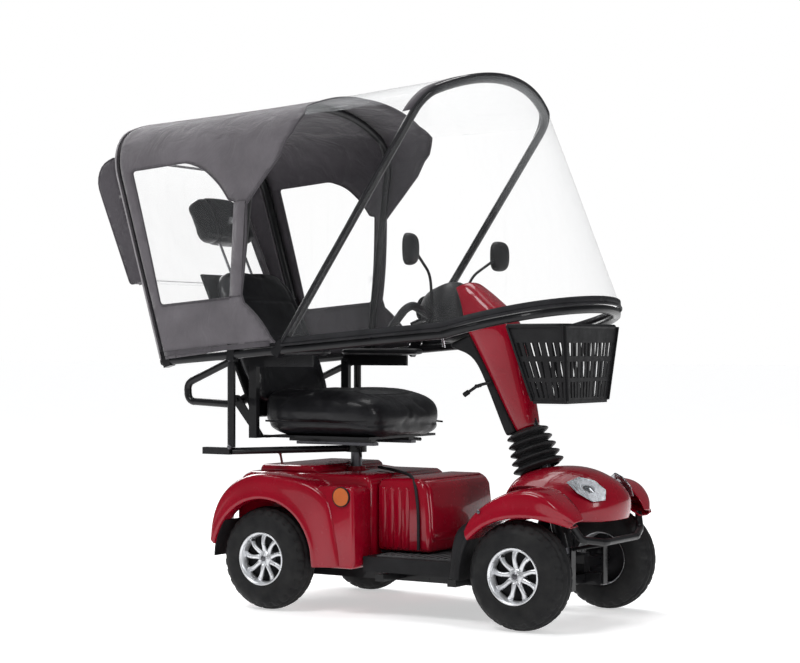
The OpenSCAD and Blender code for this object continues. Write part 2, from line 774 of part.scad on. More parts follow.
// Sleeve round the front hoop, from `back` behind its plane to `ahead` of it
module hoop_sleeve(t, back, ahead) {
    half = half_arch(front_hoop, t, 0, 0);
    translate([front_hoop[0], 0, 0]) rotate([0, front_hoop[1], 0]) translate([ahead, 0, 0])
        rotate([0, -90, 0]) linear_extrude(back + ahead)
            polygon(concat(half, [for (i = [len(half) - 1 : -1 : 0]) [half[i][0], -half[i][1]]]));
}
module canopy_screen() {
    color([0.9, 0.93, 0.95, 0.4]) on_canopy() {
        difference() {
            union() {
                screen_volume(sheet_in + sheet_t, -2.4, 0);
                hoop_sleeve(sheet_in + sheet_t - 0.3, -3, 16);
            }
            screen_volume(sheet_in, 8, -8);
            hoop_sleeve(sheet_in + 0.2, 30, 14);
            side_mask([[0, -60], [1300, -60], [1300, 96], [809, 18], [0, 18]]);
        }
        intersection() {
            difference() {
                tunnel_skin();
                side_mask([[-700, -60], [361.5, -60], [361.5, 1200], [-700, 1200]]);
            }
            side_mask([[300, 660], [1200, 660], [1200, 1200], [300, 1200]]);
        }
    }
}
// Block behind the rear hoop, inside its outline grown by t: from low to high along the hoop and
// from near to far behind it
module rear_prism(t, low, high, near, far) {
    half = half_arch(rear_hoop, t, 0, 0);
    translate([rear_hoop[0], 0, 0]) rotate([0, rear_hoop[1], 0]) intersection() {
        translate([-near, 0, 0]) rotate([0, -90, 0]) linear_extrude(far - near)
            polygon(concat(half, [for (i = [len(half) - 1 : -1 : 0]) [half[i][0], -half[i][1]]]));
        block([-far - 1, -500, low], [-near + 1, 500, high]);
    }
}
// Side view of the hood behind the rear hoop: [height along the hoop, distance behind it]
hood_profile = [[282, 17.2], [285, 71], [573, 100], [646, 106], [688, 93], [708, 72], [716, 48], [718, 17.2]];
hood_wall = 3;
module hood_form(t, profile) {
    intersection() {
        rear_prism(t, 200, 800, 10, 130);
        translate([rear_hoop[0], 0, 0]) rotate([0, rear_hoop[1], 0]) rotate([90, 0, 0])
            linear_extrude(900, center = true) polygon([for (p = profile) [-p[1], p[0]]]);
    }
}
module hood_shell() {
    inner = [[282 + hood_wall, 5], [288, 68], [573, 97], [644, 103], [685, 90.5], [705, 70.5],
             [713, 48], [715, 5]];
    difference() {
        hood_form(9, hood_profile);
        hood_form(6, inner);
    }
}
module canopy_hood() {
    color(grey) on_canopy() difference() {
        hood_shell();
        rear_prism(-45, 318, 626, 40, 140);
    }
}

chassis_frame();
floor_pan();
floor_mat();
rear_body();
battery_cover();
batteries();
transaxle();
controller();
nose_shell();
headlights();
reflectors();
front_bumper();
mud_flaps();
seat_post();
post_collar();
canopy_mount();
side_frames();
accessory_receiver();
swivel_base();
swivel_lever();
seat_pan();
seat_cushion();
slide_lever();
backrest_shell();
backrest_cushion();
headrest_rods();
headrest_cushion();
armrest(-1);  // armrest_right
armrest(1);  // armrest_left
armrest_pad(-1);  // armrest_pad_right
armrest_pad(1);  // armrest_pad_left
freewheel_lever();
steering_column();
bellows();
knuckle(-1);  // knuckle_right
knuckle(1);  // knuckle_left
tyre(0, -1);  // tyre_rear_right
rim(0, -1, true);  // rim_rear_right
tyre(0, 1);  // tyre_rear_left
rim(0, 1, true);  // rim_rear_left
tyre(wheelbase, -1);  // tyre_front_right
rim(wheelbase, -1, false);  // rim_front_right
tyre(wheelbase, 1);  // tyre_front_left
rim(wheelbase, 1, false);  // rim_front_left
tiller_tube();
tiller_cover_front();
tiller_cover_rear();
console();
handlebar();
throttle_lever();
tilt_lever();
ignition_key();
side_mirror(-1);  // mirror_right
side_mirror(1);  // mirror_left
basket();
canopy_frame();
canopy_cover();
canopy_windows();
canopy_screen();
canopy_hood();
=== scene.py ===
"""Looks for the mobility scooter with a weather canopy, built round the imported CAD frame."""
import json
from math import asin, cos, pi, radians, sin, sqrt, tan

import bmesh
import bpy
import numpy as np
from mathutils import Matrix, Vector, geometry, noise

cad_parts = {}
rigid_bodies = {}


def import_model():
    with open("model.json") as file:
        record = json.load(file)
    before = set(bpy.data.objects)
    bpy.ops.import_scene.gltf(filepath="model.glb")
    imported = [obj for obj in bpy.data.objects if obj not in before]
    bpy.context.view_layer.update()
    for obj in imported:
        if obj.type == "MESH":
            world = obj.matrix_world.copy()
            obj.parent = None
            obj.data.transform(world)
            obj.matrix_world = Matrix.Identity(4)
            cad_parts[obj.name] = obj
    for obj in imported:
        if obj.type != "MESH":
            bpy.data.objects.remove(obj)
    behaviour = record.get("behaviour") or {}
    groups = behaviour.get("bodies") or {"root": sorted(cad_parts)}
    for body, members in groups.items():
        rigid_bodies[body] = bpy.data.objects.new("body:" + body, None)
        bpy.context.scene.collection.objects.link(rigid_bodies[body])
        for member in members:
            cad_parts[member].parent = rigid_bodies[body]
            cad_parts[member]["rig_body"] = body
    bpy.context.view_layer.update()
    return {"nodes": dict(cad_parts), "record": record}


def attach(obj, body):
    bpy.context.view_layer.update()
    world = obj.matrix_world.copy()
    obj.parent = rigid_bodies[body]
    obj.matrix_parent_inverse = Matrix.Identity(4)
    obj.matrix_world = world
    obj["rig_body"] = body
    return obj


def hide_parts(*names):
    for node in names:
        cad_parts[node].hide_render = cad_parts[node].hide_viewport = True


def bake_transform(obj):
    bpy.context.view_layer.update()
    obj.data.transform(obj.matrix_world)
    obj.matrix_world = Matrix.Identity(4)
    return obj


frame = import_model()
REAR_AXLE_X = -0.24925

# ------------------------------------------------------------------ places


def at(x, y, z):
    """A point given in mm from the rear axle's plan position, as metres in the row frame."""
    return Vector((x / 1000 + REAR_AXLE_X, y / 1000, z / 1000))


CANOPY_SLOPE = radians(4.5)
TILLER_LEAN = radians(21.3)
RECLINE = radians(25)


def on_canopy(u, y, w):
    return at(-98 + u * cos(CANOPY_SLOPE) - w * sin(CANOPY_SLOPE), y,
              811 + u * sin(CANOPY_SLOPE) + w * cos(CANOPY_SLOPE))


def on_tiller(x, y, z):
    return at(830 + x * cos(TILLER_LEAN) - z * sin(TILLER_LEAN), y,
              508 + x * sin(TILLER_LEAN) + z * cos(TILLER_LEAN))


def on_back(x, y, z):
    return at(-78 + x * cos(RECLINE) - z * sin(RECLINE), y,
              590 + x * sin(RECLINE) + z * cos(RECLINE))


# ------------------------------------------------------------------ camera and light

camera_data = bpy.data.cameras.new("camera")
camera_data.lens = 85.39
camera_data.sensor_width = 36
camera = bpy.data.objects.new("camera", camera_data)
bpy.context.collection.objects.link(camera)
camera.location = at(3570.6, -5239.5, 831.5)
camera.rotation_euler = (radians(90.54), 0, radians(31.91))
bpy.context.scene.camera = camera


def area_light(name, place, aim, size, power, colour=(1, 1, 1)):
    light = bpy.data.lights.new(name, "AREA")
    light.shape, light.size, light.size_y = "RECTANGLE", size[0], size[1]
    light.energy, light.color = power, colour
    lamp = bpy.data.objects.new(name, light)
    bpy.context.collection.objects.link(lamp)
    lamp.location = place
    lamp.rotation_euler = (Vector(aim) - Vector(place)).to_track_quat("-Z", "Y").to_euler()


area_light("key", (-0.8, -3.4, 4.4), (0.1, 0, 0.6), (2.6, 1.6), 135)
area_light("front", (4.2, -1.6, 2.6), (0.2, 0, 0.6), (0.8, 2.6), 55)
area_light("top", (0.3, 0.6, 4.6), (0, 0, 0.5), (3.0, 1.6), 30)
area_light("rim", (-3.8, 1.8, 2.8), (0, 0, 0.8), (2.4, 1.6), 90)
overhead = bpy.data.lights.new("overhead", "SUN")
overhead.energy, overhead.angle = 1.6, radians(45)
overhead_lamp = bpy.data.objects.new("overhead", overhead)
bpy.context.collection.objects.link(overhead_lamp)
overhead_lamp.rotation_euler = (radians(-14), radians(-16), 0)
world = bpy.data.worlds.new("studio")
bpy.context.scene.world = world
world.use_nodes = True
tree = world.node_tree
seen, soft = tree.nodes["Background"], tree.nodes.new("ShaderNodeBackground")
seen.inputs[0].default_value = (1, 1, 1, 1)
soft.inputs[0].default_value = (0.96, 0.98, 1, 1)
soft.inputs[1].default_value = 0.16
rays, mix = tree.nodes.new("ShaderNodeLightPath"), tree.nodes.new("ShaderNodeMixShader")
tree.links.new(rays.outputs["Is Camera Ray"], mix.inputs["Fac"])
tree.links.new(soft.outputs[0], mix.inputs[1])
tree.links.new(seen.outputs[0], mix.inputs[2])
tree.links.new(mix.outputs[0], tree.nodes["World Output"].inputs["Surface"])
bpy.context.scene.view_settings.view_transform = "Standard"

# ------------------------------------------------------------------ materials


def new_material(name, colour, rough, metal=0.0, coat=0.0, alpha=1.0, sheen=0.0):
    m = bpy.data.materials.new(name)
    m.use_nodes = True
    shader = m.node_tree.nodes["Principled BSDF"]
    shader.inputs["Base Color"].default_value = (*colour, 1)
    shader.inputs["Roughness"].default_value = rough
    shader.inputs["Metallic"].default_value = metal
    shader.inputs["Coat Weight"].default_value = coat
    shader.inputs["Coat Roughness"].default_value = 0.04
    shader.inputs["Specular IOR Level"].default_value = 0.5 if metal > 0.5 else 0.16
    shader.inputs["Sheen Weight"].default_value = sheen
    shader.inputs["Alpha"].default_value = alpha
    return m


def node(m, kind, links=(), **values):
    """Adds a node, sets its sockets by name (spaces as _), and links (output, socket name) pairs into it."""
    n = m.node_tree.nodes.new(kind)
    for key, value in values.items():
        if hasattr(n, key):
            setattr(n, key, value)
        else:
            n.inputs[key.replace("_", " ")].default_value = value
    for output, socket in links:
        m.node_tree.links.new(output, n.inputs[socket])
    return n


def link(m, output, socket):
    m.node_tree.links.new(output, m.node_tree.nodes["Principled BSDF"].inputs[socket])


def place_of(m, stretch=(1, 1, 1)):
    coordinates = node(m, "ShaderNodeTexCoord")
    mapping = node(m, "ShaderNodeMapping", [(coordinates.outputs["Object"], "Vector")])
    mapping.inputs["Scale"].default_value = stretch
    return mapping.outputs["Vector"]


def vary_colour(m, scale, dark, light, detail=3.0, stretch=(1, 1, 1)):
    """Colour that drifts between two close tones, as dye, dust and wear make it."""
    spots = node(m, "ShaderNodeTexNoise", [(place_of(m, stretch), "Vector")], Scale=scale, Detail=detail)
    ramp = node(m, "ShaderNodeValToRGB", [(spots.outputs["Fac"], "Fac")])
    ramp.color_ramp.elements[0].position, ramp.color_ramp.elements[1].position = 0.3, 0.7
    ramp.color_ramp.elements[0].color = (*dark, 1)
    ramp.color_ramp.elements[1].color = (*light, 1)
    link(m, ramp.outputs["Color"], "Base Color")
    return ramp


def vary_rough(m, scale, low, high):
    spots = node(m, "ShaderNodeTexNoise", [(place_of(m), "Vector")], Scale=scale, Detail=4.0)
    spread = node(m, "ShaderNodeMapRange", [(spots.outputs["Fac"], "Value")],
                  From_Min=0.3, From_Max=0.7, To_Min=low, To_Max=high)
    link(m, spread.outputs["Result"], "Roughness")


def bump(m, height, strength, distance, under=None):
    b = node(m, "ShaderNodeBump", [(height, "Height")], Strength=strength, Distance=distance)
    if under:
        m.node_tree.links.new(under, b.inputs["Normal"])
    link(m, b.outputs["Normal"], "Normal")
    return b.outputs["Normal"]


def grain(m, scale, strength, distance, under=None, cells=False):
    """Fine bump: cells for leather or moulded texture, noise for cast and sprayed surfaces."""
    if cells:
        t = node(m, "ShaderNodeTexVoronoi", [(place_of(m), "Vector")], Scale=scale)
        return bump(m, t.outputs["Distance"], strength, distance, under)
    t = node(m, "ShaderNodeTexNoise", [(place_of(m), "Vector")], Scale=scale, Detail=5.0)
    return bump(m, t.outputs["Fac"], strength, distance, under)


def make_red():
    m = new_material("red_gloss", (0.25, 0.001, 0.011), 0.20, 0.0, 0.55)
    vary_colour(m, 3.0, (0.21, 0.0006, 0.009), (0.29, 0.0012, 0.014))
    flakes = node(m, "ShaderNodeTexVoronoi", [(place_of(m), "Vector")], Scale=1500.0)
    grain(m, 90.0, 0.03, 0.001, bump(m, flakes.outputs["Distance"], 0.04, 0.0002))
    vary_rough(m, 30.0, 0.18, 0.30)
    return m


def make_plain(name, colour, rough, metal=0.0, coat=0.0, grain_scale=500.0, depth=0.12, cells=False):
    m = new_material(name, colour, rough, metal, coat)
    vary_colour(m, 14.0, [c * 0.85 for c in colour], [min(1, c * 1.2 + 0.003) for c in colour])
    vary_rough(m, 40.0, rough * 0.85, min(1.0, rough * 1.2))
    grain(m, grain_scale, depth, 0.0006, cells=cells)
    return m


def make_weave(name, dark, light):
    """Proofed woven cloth: crossing threads, a soft crumple, and a slight sheen."""
    m = new_material(name, light, 0.72, sheen=0.25)
    vary_colour(m, 9.0, dark, light, 5.0)
    threads = []
    for direction in ("X", "Z"):
        w = node(m, "ShaderNodeTexWave", [(place_of(m), "Vector")], Scale=260.0, Distortion=0.6)
        w.bands_direction = direction
        threads.append(w.outputs["Fac"])
    crossed = node(m, "ShaderNodeMath", [(threads[0], 0), (threads[1], 1)], operation="ADD")
    woven = bump(m, crossed.outputs[0], 0.22, 0.0004)
    crumple = node(m, "ShaderNodeTexNoise", [(place_of(m), "Vector")], Scale=11.0, Detail=3.0, Distortion=0.8)
    bump(m, crumple.outputs["Fac"], 0.55, 0.02, woven)
    vary_rough(m, 25.0, 0.62, 0.85)
    return m


def make_vinyl(name, dark, light, rough=0.36):
    m = new_material(name, light, rough, coat=0.15)
    vary_colour(m, 12.0, dark, light)
    fine = grain(m, 420.0, 0.35, 0.0006, cells=True)
    grain(m, 22.0, 0.18, 0.006, fine)
    vary_rough(m, 35.0, rough * 0.8, rough * 1.35)
    return m


def make_clear(name, tint, low, high, streaks):
    """Clear PVC: nearly nothing face on, milky at a slant, with faint roller streaks and dimples."""
    m = new_material(name, tint, 0.07, coat=0.3)
    edge = node(m, "ShaderNodeLayerWeight", Blend=0.35)
    lines = node(m, "ShaderNodeTexNoise", [(place_of(m, (18, 18, 1.2)), "Vector")], Scale=1.6, Detail=2.0)
    mist = node(m, "ShaderNodeMapRange", [(lines.outputs["Fac"], "Value")],
                From_Min=0.52, From_Max=0.75, To_Min=0.0, To_Max=streaks)
    base = node(m, "ShaderNodeMapRange", [(edge.outputs["Facing"], "Value")],
                From_Min=0.1, From_Max=1.0, To_Min=low, To_Max=high)
    total = node(m, "ShaderNodeMath", [(base.outputs["Result"], 0), (mist.outputs["Result"], 1)], operation="ADD")
    total.use_clamp = True
    link(m, total.outputs[0], "Alpha")
    grain(m, 7.0, 0.25, 0.01)
    return m


def make_tyre():
    m = new_material("tyre", (0.012, 0.012, 0.013), 0.62)
    vary_colour(m, 25.0, (0.009, 0.009, 0.010), (0.018, 0.018, 0.018))
    grain(m, 700.0, 0.2, 0.0005)
    vary_rough(m, 30.0, 0.5, 0.75)
    return m


def make_floor():
    """White studio floor that glows a little, as a lit white sweep does."""
    m = new_material("floor", (0.78, 0.78, 0.79), 0.6)
    vary_colour(m, 2.0, (0.77, 0.77, 0.78), (0.80, 0.80, 0.80))
    shader = m.node_tree.nodes["Principled BSDF"]
    shader.inputs["Specular IOR Level"].default_value = 0.1
    shader.inputs["Emission Color"].default_value = (1, 1, 1, 1)
    shader.inputs["Emission Strength"].default_value = 0.52
    return m


MAT = {
    "red_gloss": make_red(),
    "frame_black": make_plain("frame_black", (0.006, 0.006, 0.007), 0.32, coat=0.2, grain_scale=300, depth=0.05),
    "black_plastic": make_plain("black_plastic", (0.009, 0.009, 0.010), 0.48, grain_scale=900, depth=0.25, cells=True),
    "floor_rubber": make_plain("floor_rubber", (0.085, 0.085, 0.088), 0.75, grain_scale=600, depth=0.3),
    "battery_grey": make_plain("battery_grey", (0.05, 0.055, 0.06), 0.5),
    "cast_alloy": make_plain("cast_alloy", (0.16, 0.16, 0.17), 0.5, 0.7, grain_scale=250, depth=0.4),
    "clear_lens": make_clear("clear_lens", (0.55, 0.58, 0.60), 0.03, 0.22, 0.0),
    "amber_lens": make_plain("amber_lens", (0.42, 0.085, 0.006), 0.15, coat=0.4, grain_scale=260, depth=0.7, cells=True),
    "dark_steel": make_plain("dark_steel", (0.10, 0.10, 0.11), 0.36, 0.9, grain_scale=400),
    "vinyl": make_vinyl("vinyl", (0.006, 0.006, 0.007), (0.013, 0.013, 0.015)),
    "bright_steel": make_plain("bright_steel", (0.62, 0.62, 0.64), 0.18, 1.0, grain_scale=500, depth=0.04),
    "dark_red": make_plain("dark_red", (0.16, 0.006, 0.014), 0.28, coat=0.6),
    "bellows_rubber": make_plain("bellows_rubber", (0.014, 0.014, 0.015), 0.42, grain_scale=500, depth=0.2),
    "tyre": make_tyre(),
    "silver_rim": make_plain("silver_rim", (0.66, 0.67, 0.69), 0.30, 0.7, 0.4, grain_scale=800, depth=0.03),
    "canopy_fabric": make_weave("canopy_fabric", (0.082, 0.075, 0.083), (0.116, 0.107, 0.118)),
    "clear_sheet": make_clear("clear_sheet", (0.90, 0.92, 0.94), 0.015, 0.30, 0.02),
    "lining": make_weave("lining", (0.040, 0.036, 0.042), (0.062, 0.056, 0.064)),
    "trim_black": make_plain("trim_black", (0.014, 0.014, 0.016), 0.6, grain_scale=900, depth=0.3),
    "piping_grey": make_plain("piping_grey", (0.24, 0.23, 0.24), 0.55, grain_scale=700, depth=0.2),
    "mirror_glass": make_plain("mirror_glass", (0.8, 0.82, 0.84), 0.03, 1.0, grain_scale=10, depth=0.0),
    "lamp_silver": make_plain("lamp_silver", (0.30, 0.31, 0.33), 0.16, 0.9, grain_scale=120, depth=0.1, cells=True),
    "brass": make_plain("brass", (0.55, 0.42, 0.18), 0.3, 1.0),
    "floor": make_floor(),
}

slot_of = {s["node"]: s["material_slot"] for s in frame["record"]["subparts"]}
for name, obj in frame["nodes"].items():
    obj.data.materials.clear()
    obj.data.materials.append(MAT[slot_of[name]])

# ------------------------------------------------------------------ mesh helpers


def finish_piece(obj, body, material, stands_for=(), smooth=True):
    obj.data.materials.append(MAT[material])
    if smooth and obj.type == "MESH":
        obj.data.polygons.foreach_set("use_smooth", [True] * len(obj.data.polygons))
    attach(obj, body)
    if stands_for:
        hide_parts(*stands_for)
    return obj


def mesh_object(name, points, faces):
    mesh = bpy.data.meshes.new(name)
    mesh.from_pydata([tuple(p) for p in points], [], faces)
    mesh.validate()
    obj = bpy.data.objects.new(name, mesh)
    bpy.context.collection.objects.link(obj)
    return obj


def add_modifier(obj, kind, **values):
    modifier = obj.modifiers.new(kind.lower(), kind)
    for key, value in values.items():
        setattr(modifier, key, value)
    return modifier


def bevelled(obj, width, segments=3, angle=35):
    add_modifier(obj, "BEVEL", width=width, segments=segments, limit_method="ANGLE",
                 angle_limit=radians(angle), harden_normals=True, use_clamp_overlap=False)
    return obj


def apply_modifiers(obj):
    """Bakes the modifiers into a mesh of the object's own."""
    bpy.context.view_layer.update()
    graph = bpy.context.evaluated_depsgraph_get()
    baked = bpy.data.meshes.new_from_object(obj.evaluated_get(graph))
    obj.modifiers.clear()
    obj.data = baked
    return obj


def prism(name, outline, y0, y1, place=at):
    """A side view outline of (x, z) carried across from y0 to y1."""
    n = len(outline)
    points = [place(x, y, z) for y in (y0, y1) for x, z in outline]
    faces = [tuple(range(n)), tuple(range(2 * n - 1, n - 1, -1))]
    faces += [(i, (i + 1) % n, n + (i + 1) % n, n + i)[::-1] for i in range(n)]
    obj = mesh_object(name, points, faces)
    tidy_normals(obj)
    return obj


def tidy_normals(obj):
    b = bmesh.new()
    b.from_mesh(obj.data)
    bmesh.ops.remove_doubles(b, verts=b.verts, dist=1e-5)
    bmesh.ops.recalc_face_normals(b, faces=b.faces)
    b.to_mesh(obj.data)
    b.free()


def arc(centre, radius, start, end, steps):
    return [(centre[0] + radius * cos(radians(start + (end - start) * i / steps)),
             centre[1] + radius * sin(radians(start + (end - start) * i / steps))) for i in range(steps + 1)]


def loft(name, rings, closed=True, caps=True):
    """Skins rings of equal length. A closed ring joins its end to its start."""
    n = len(rings[0])
    points = [p for ring in rings for p in ring]
    last = n if closed else n - 1
    faces = [(k * n + i, k * n + (i + 1) % n, (k + 1) * n + (i + 1) % n, (k + 1) * n + i)
             for k in range(len(rings) - 1) for i in range(last)]
    if caps and closed:
        faces += [tuple(range(n))[::-1], tuple(range((len(rings) - 1) * n, len(rings) * n))]
    obj = mesh_object(name, points, faces)
    tidy_normals(obj)
    return obj


def revolve(name, profile, steps, place):
    """Turns (radius, along) points about an axis; place(radial x, radial z, along) gives the point."""
    rings = [[place(r * cos(2 * pi * k / steps), r * sin(2 * pi * k / steps), a) for r, a in profile]
             for k in range(steps)]
    n = len(profile)
    points = [p for ring in rings for p in ring]
    faces = [(k * n + i, k * n + i + 1, ((k + 1) % steps) * n + i + 1, ((k + 1) % steps) * n + i)
             for k in range(steps) for i in range(n - 1)]
    obj = mesh_object(name, points, faces)
    tidy_normals(obj)
    return obj


def rounded_ring(cx, cy, a, b, count, power=3.2):
    """Points of a rounded rectangle with half sizes a and b."""
    ring = []
    for i in range(count):
        t = 2 * pi * i / count
        c, s = cos(t), sin(t)
        ring.append((cx + a * abs(c) ** (2 / power) * (1 if c >= 0 else -1),
                     cy + b * abs(s) ** (2 / power) * (1 if s >= 0 else -1)))
    return ring


def rounded_path(points, radius, steps=6):
    """A line through points with each inner corner rounded."""
    points = [Vector(p) for p in points]
    path = [points[0]]
    for before, corner, after in zip(points, points[1:], points[2:]):
        a, b = (before - corner), (after - corner)
        reach = min(radius, a.length * 0.45, b.length * 0.45)
        start, end = corner + a.normalized() * reach, corner + b.normalized() * reach
        for i in range(steps + 1):
            t = i / steps
            path.append(start * (1 - t) ** 2 + corner * (2 * t * (1 - t)) + end * t ** 2)
    return path + [points[-1]]


def tube(name, points, radius, body, material, rounding=0.0, stands_for=(), closed=False):
    """A rod, wire or piping along a line, in metres."""
    path = rounded_path(points, rounding) if rounding else [Vector(p) for p in points]
    curve = bpy.data.curves.new(name, "CURVE")
    curve.dimensions = "3D"
    curve.bevel_depth = radius
    curve.bevel_resolution = 3
    curve.use_fill_caps = True
    spline = curve.splines.new("POLY")
    spline.points.add(len(path) - 1)
    for p, q in zip(spline.points, path):
        p.co = (*q, 1)
    spline.use_cyclic_u = closed
    obj = bpy.data.objects.new(name, curve)
    bpy.context.collection.objects.link(obj)
    return finish_piece(obj, body, material, stands_for)


def joined(name, objects):
    """Joins meshes into one object called name."""
    b = bmesh.new()
    for o in objects:
        apply_modifiers(o)
        o.data.transform(o.matrix_world)
        b.from_mesh(o.data)
    mesh = bpy.data.meshes.new(name)
    b.to_mesh(mesh)
    b.free()
    for o in objects:
        bpy.data.objects.remove(o)
    obj = bpy.data.objects.new(name, mesh)
    bpy.context.collection.objects.link(obj)
    return obj

# ------------------------------------------------------------------ canopy

# A hoop: foot along the rail, lean, leg, corner radius, corner angle (mm and degrees)
REAR_HOOP = (-233, -12.4, 635, 173, 70)
FRONT_HOOP = (210, 39.1, 872, 90, 64.7)
CANOPY_Y = 400
BOW_START, BOW_RUN, BOW_CORNER, BOW_ANGLE, BOW_RISE = 809, 176, 288, 60, radians(9.4)


def arch(h, k, stand_off):
    """Along a hoop, k from 0 at the foot, 1 at the top of the leg, to 2 at the crown: (distance up, y)."""
    foot, lean, leg, r, angle = h
    crown = (CANOPY_Y - r * (1 - cos(radians(angle)))) / cos(radians(angle))
    if k <= 1:
        return k * leg, CANOPY_Y + stand_off
    a = radians(90 * (k - 1))
    if a <= radians(angle):
        return leg + (r + stand_off) * sin(a), CANOPY_Y + stand_off - (r + stand_off) * (1 - cos(a))
    centre = leg + r * sin(radians(angle)) - crown * sin(radians(angle))
    return centre + (crown + stand_off) * sin(a), (crown + stand_off) * cos(a)


def hoop_point(h, k, stand_off=15.2, back=0.0, face=0.0):
    """A point beside a hoop as (u, y, w) in the canopy's own frame; back moves it off the hoop's plane,
    and a sheet that stands at face degrees to that plane keeps stand_off from the tube."""
    a = radians(90 * max(0.0, k - 1))
    s, y = arch(h, k, stand_off / (cos(a) ** 2 + sin(a) ** 2 * cos(radians(face))))
    lean = radians(h[1])
    return np.array([h[0] + s * sin(lean) + back * cos(lean), y, s * cos(lean) - back * sin(lean)])


def bow_point(k, stand_off=15.2, up=0.0):
    """The rail ahead of the front hoop: k from 0 at the hoop's foot, 1 where it starts to turn, to 2 at the tip."""
    corner = BOW_RUN - BOW_CORNER * tan(radians(BOW_ANGLE / 2))
    wide = (CANOPY_Y - BOW_CORNER * (1 - cos(radians(BOW_ANGLE)))) / cos(radians(BOW_ANGLE))
    if k <= 1:
        straight = BOW_START + corner - FRONT_HOOP[0]
        u = FRONT_HOOP[0] + straight * k
        along = max(0.0, u - BOW_START)
        return np.array([u, CANOPY_Y + stand_off, 2 + up + along * sin(BOW_RISE)])
    a = radians(90 * (k - 1))
    if a <= radians(BOW_ANGLE):
        s = corner + (BOW_CORNER + stand_off) * sin(a)
        y = CANOPY_Y + stand_off - (BOW_CORNER + stand_off) * (1 - cos(a))
    else:
        middle = corner + BOW_CORNER * sin(radians(BOW_ANGLE)) - wide * sin(radians(BOW_ANGLE))
        s, y = middle + (wide + stand_off) * sin(a), (wide + stand_off) * cos(a)
    return np.array([BOW_START + s * cos(BOW_RISE), y, 2 + up + s * sin(BOW_RISE)])


def tunnel_point(p, k, off=0.0):
    """The roof and sides: p from 0 at the rear hoop to 1 at the front one, k up the hoops. It dips a little in between."""
    rear = hoop_point(REAR_HOOP, k, 15.2 + off, face=13.6)
    front = hoop_point(FRONT_HOOP, k, 15.2 + off, face=-37.9)
    q = rear * (1 - p) + front * p
    slack = sin(pi * min(1, max(0, p)))
    over = max(0.0, k - 1)
    q[2] -= 9 * slack * over
    fold = noise.noise(Vector((q[0] / 210, k * 3.1, 0.3)))
    q[1] += (2.5 * fold - 3.0) * slack * (1 - over)
    q[2] += 2.2 * fold * slack * over
    return q


def screen_point(p, k, off=0.0):
    """The windscreen: p from 0 on the front hoop to 1 on the rail, k up the hoop and forward along the rail."""
    top = hoop_point(FRONT_HOOP, k, 15.2 + off, 3)
    low = bow_point(k, 15.2 + off, 16)
    q = top * (1 - p) + low * p
    q[0] += 6 * sin(pi * p) * max(0.0, k - 1) * sin(9 * k)
    return q


def unfold(u, w):
    """Which (p, k) of the tunnel's flat side lies at side view point (u, w)."""
    p, k = 0.5, 0.5
    for _ in range(40):
        q = tunnel_point(p, k)
        du = tunnel_point(p + 1e-3, k) - q
        dk = tunnel_point(p, k + 1e-3) - q
        m = np.array([[du[0], dk[0]], [du[2], dk[2]]]) / 1e-3
        step = np.linalg.solve(m, np.array([u - q[0], w - q[2]]))
        p, k = p + float(np.clip(step[0], -0.3, 0.3)), k + float(np.clip(step[1], -0.3, 0.3))
    return p, k


def rounded_outline(points, radius, steps=5):
    """Rounds every corner of a flat outline; radius may be one number or one per corner."""
    n, made = len(points), []
    radii = radius if hasattr(radius, "__len__") else [radius] * n
    for i in range(n):
        c = Vector((*points[i], 0))
        a, b = Vector((*points[i - 1], 0)) - c, Vector((*points[(i + 1) % n], 0)) - c
        reach = min(radii[i], a.length * 0.45, b.length * 0.45)
        if reach < 1e-6:
            made.append(tuple(c)[:2])
            continue
        start, end = c + a.normalized() * reach, c + b.normalized() * reach
        for j in range(steps + 1):
            t = j / steps
            made.append(tuple(start * (1 - t) ** 2 + c * (2 * t * (1 - t)) + end * t ** 2)[:2])
    return made


def dense(points, gap, closed=True):
    """Adds points so that no step is longer than gap."""
    made, n = [], len(points)
    for i in range(n if closed else n - 1):
        a, b = np.array(points[i], float), np.array(points[(i + 1) % n], float)
        count = max(1, int(np.ceil(np.linalg.norm(b - a) / gap)))
        made += [tuple(a + (b - a) * j / count) for j in range(count)]
    return made if closed else made + [tuple(points[-1])]


def inside(point, outline):
    x, y = point
    hit = False
    for (x0, y0), (x1, y1) in zip(outline, outline[1:] + outline[:1]):
        if (y0 > y) != (y1 > y) and x < (x1 - x0) * (y - y0) / (y1 - y0) + x0:
            hit = not hit
    return hit


def cut_sheet(name, outline, holes, place, gap):
    """A sheet cut to a flat outline with holes, with points gap apart, put in space by place(a, b)."""
    loops = [dense(outline, gap)] + [dense(h, gap) for h in holes]
    points, edges = [], []
    for loop in loops:
        base = len(points)
        points += loop
        edges += [(base + i, base + (i + 1) % len(loop)) for i in range(len(loop))]
    low, high = np.min(points, 0), np.max(points, 0)
    rim = np.array(points)
    for a in np.arange(low[0] + gap / 2, high[0], gap):
        for b in np.arange(low[1] + gap / 2, high[1], gap):
            if inside((a, b), loops[0]) and not any(inside((a, b), h) for h in loops[1:]) \
                    and np.min(np.hypot(*(rim - (a, b)).T)) > gap * 0.45:
                points.append((a, b))
    flat, _, faces, _, _, _ = geometry.delaunay_2d_cdt([Vector(p) for p in points], edges, [], 0, 1e-6)
    keep = []
    for f in faces:
        middle = sum((flat[i] for i in f), Vector((0, 0))) / len(f)
        if inside(middle, loops[0]) and not any(inside(middle, h) for h in loops[1:]):
            keep.append(tuple(f))
    return mesh_object(name, [place(*p) for p in flat], keep)


def side_place(sign, off=0.0):
    """Puts (p, k / 2) cut points on the canopy's roof and side; the scale keeps triangles even."""
    def place(a, b):
        u, y, w = tunnel_point(a / 1000, b / 700, off)
        return on_canopy(u, sign * y, w)
    return place


def side_cut(points):
    return [(p * 1000, k * 700) for p, k in (unfold(u, w) for u, w in points)]


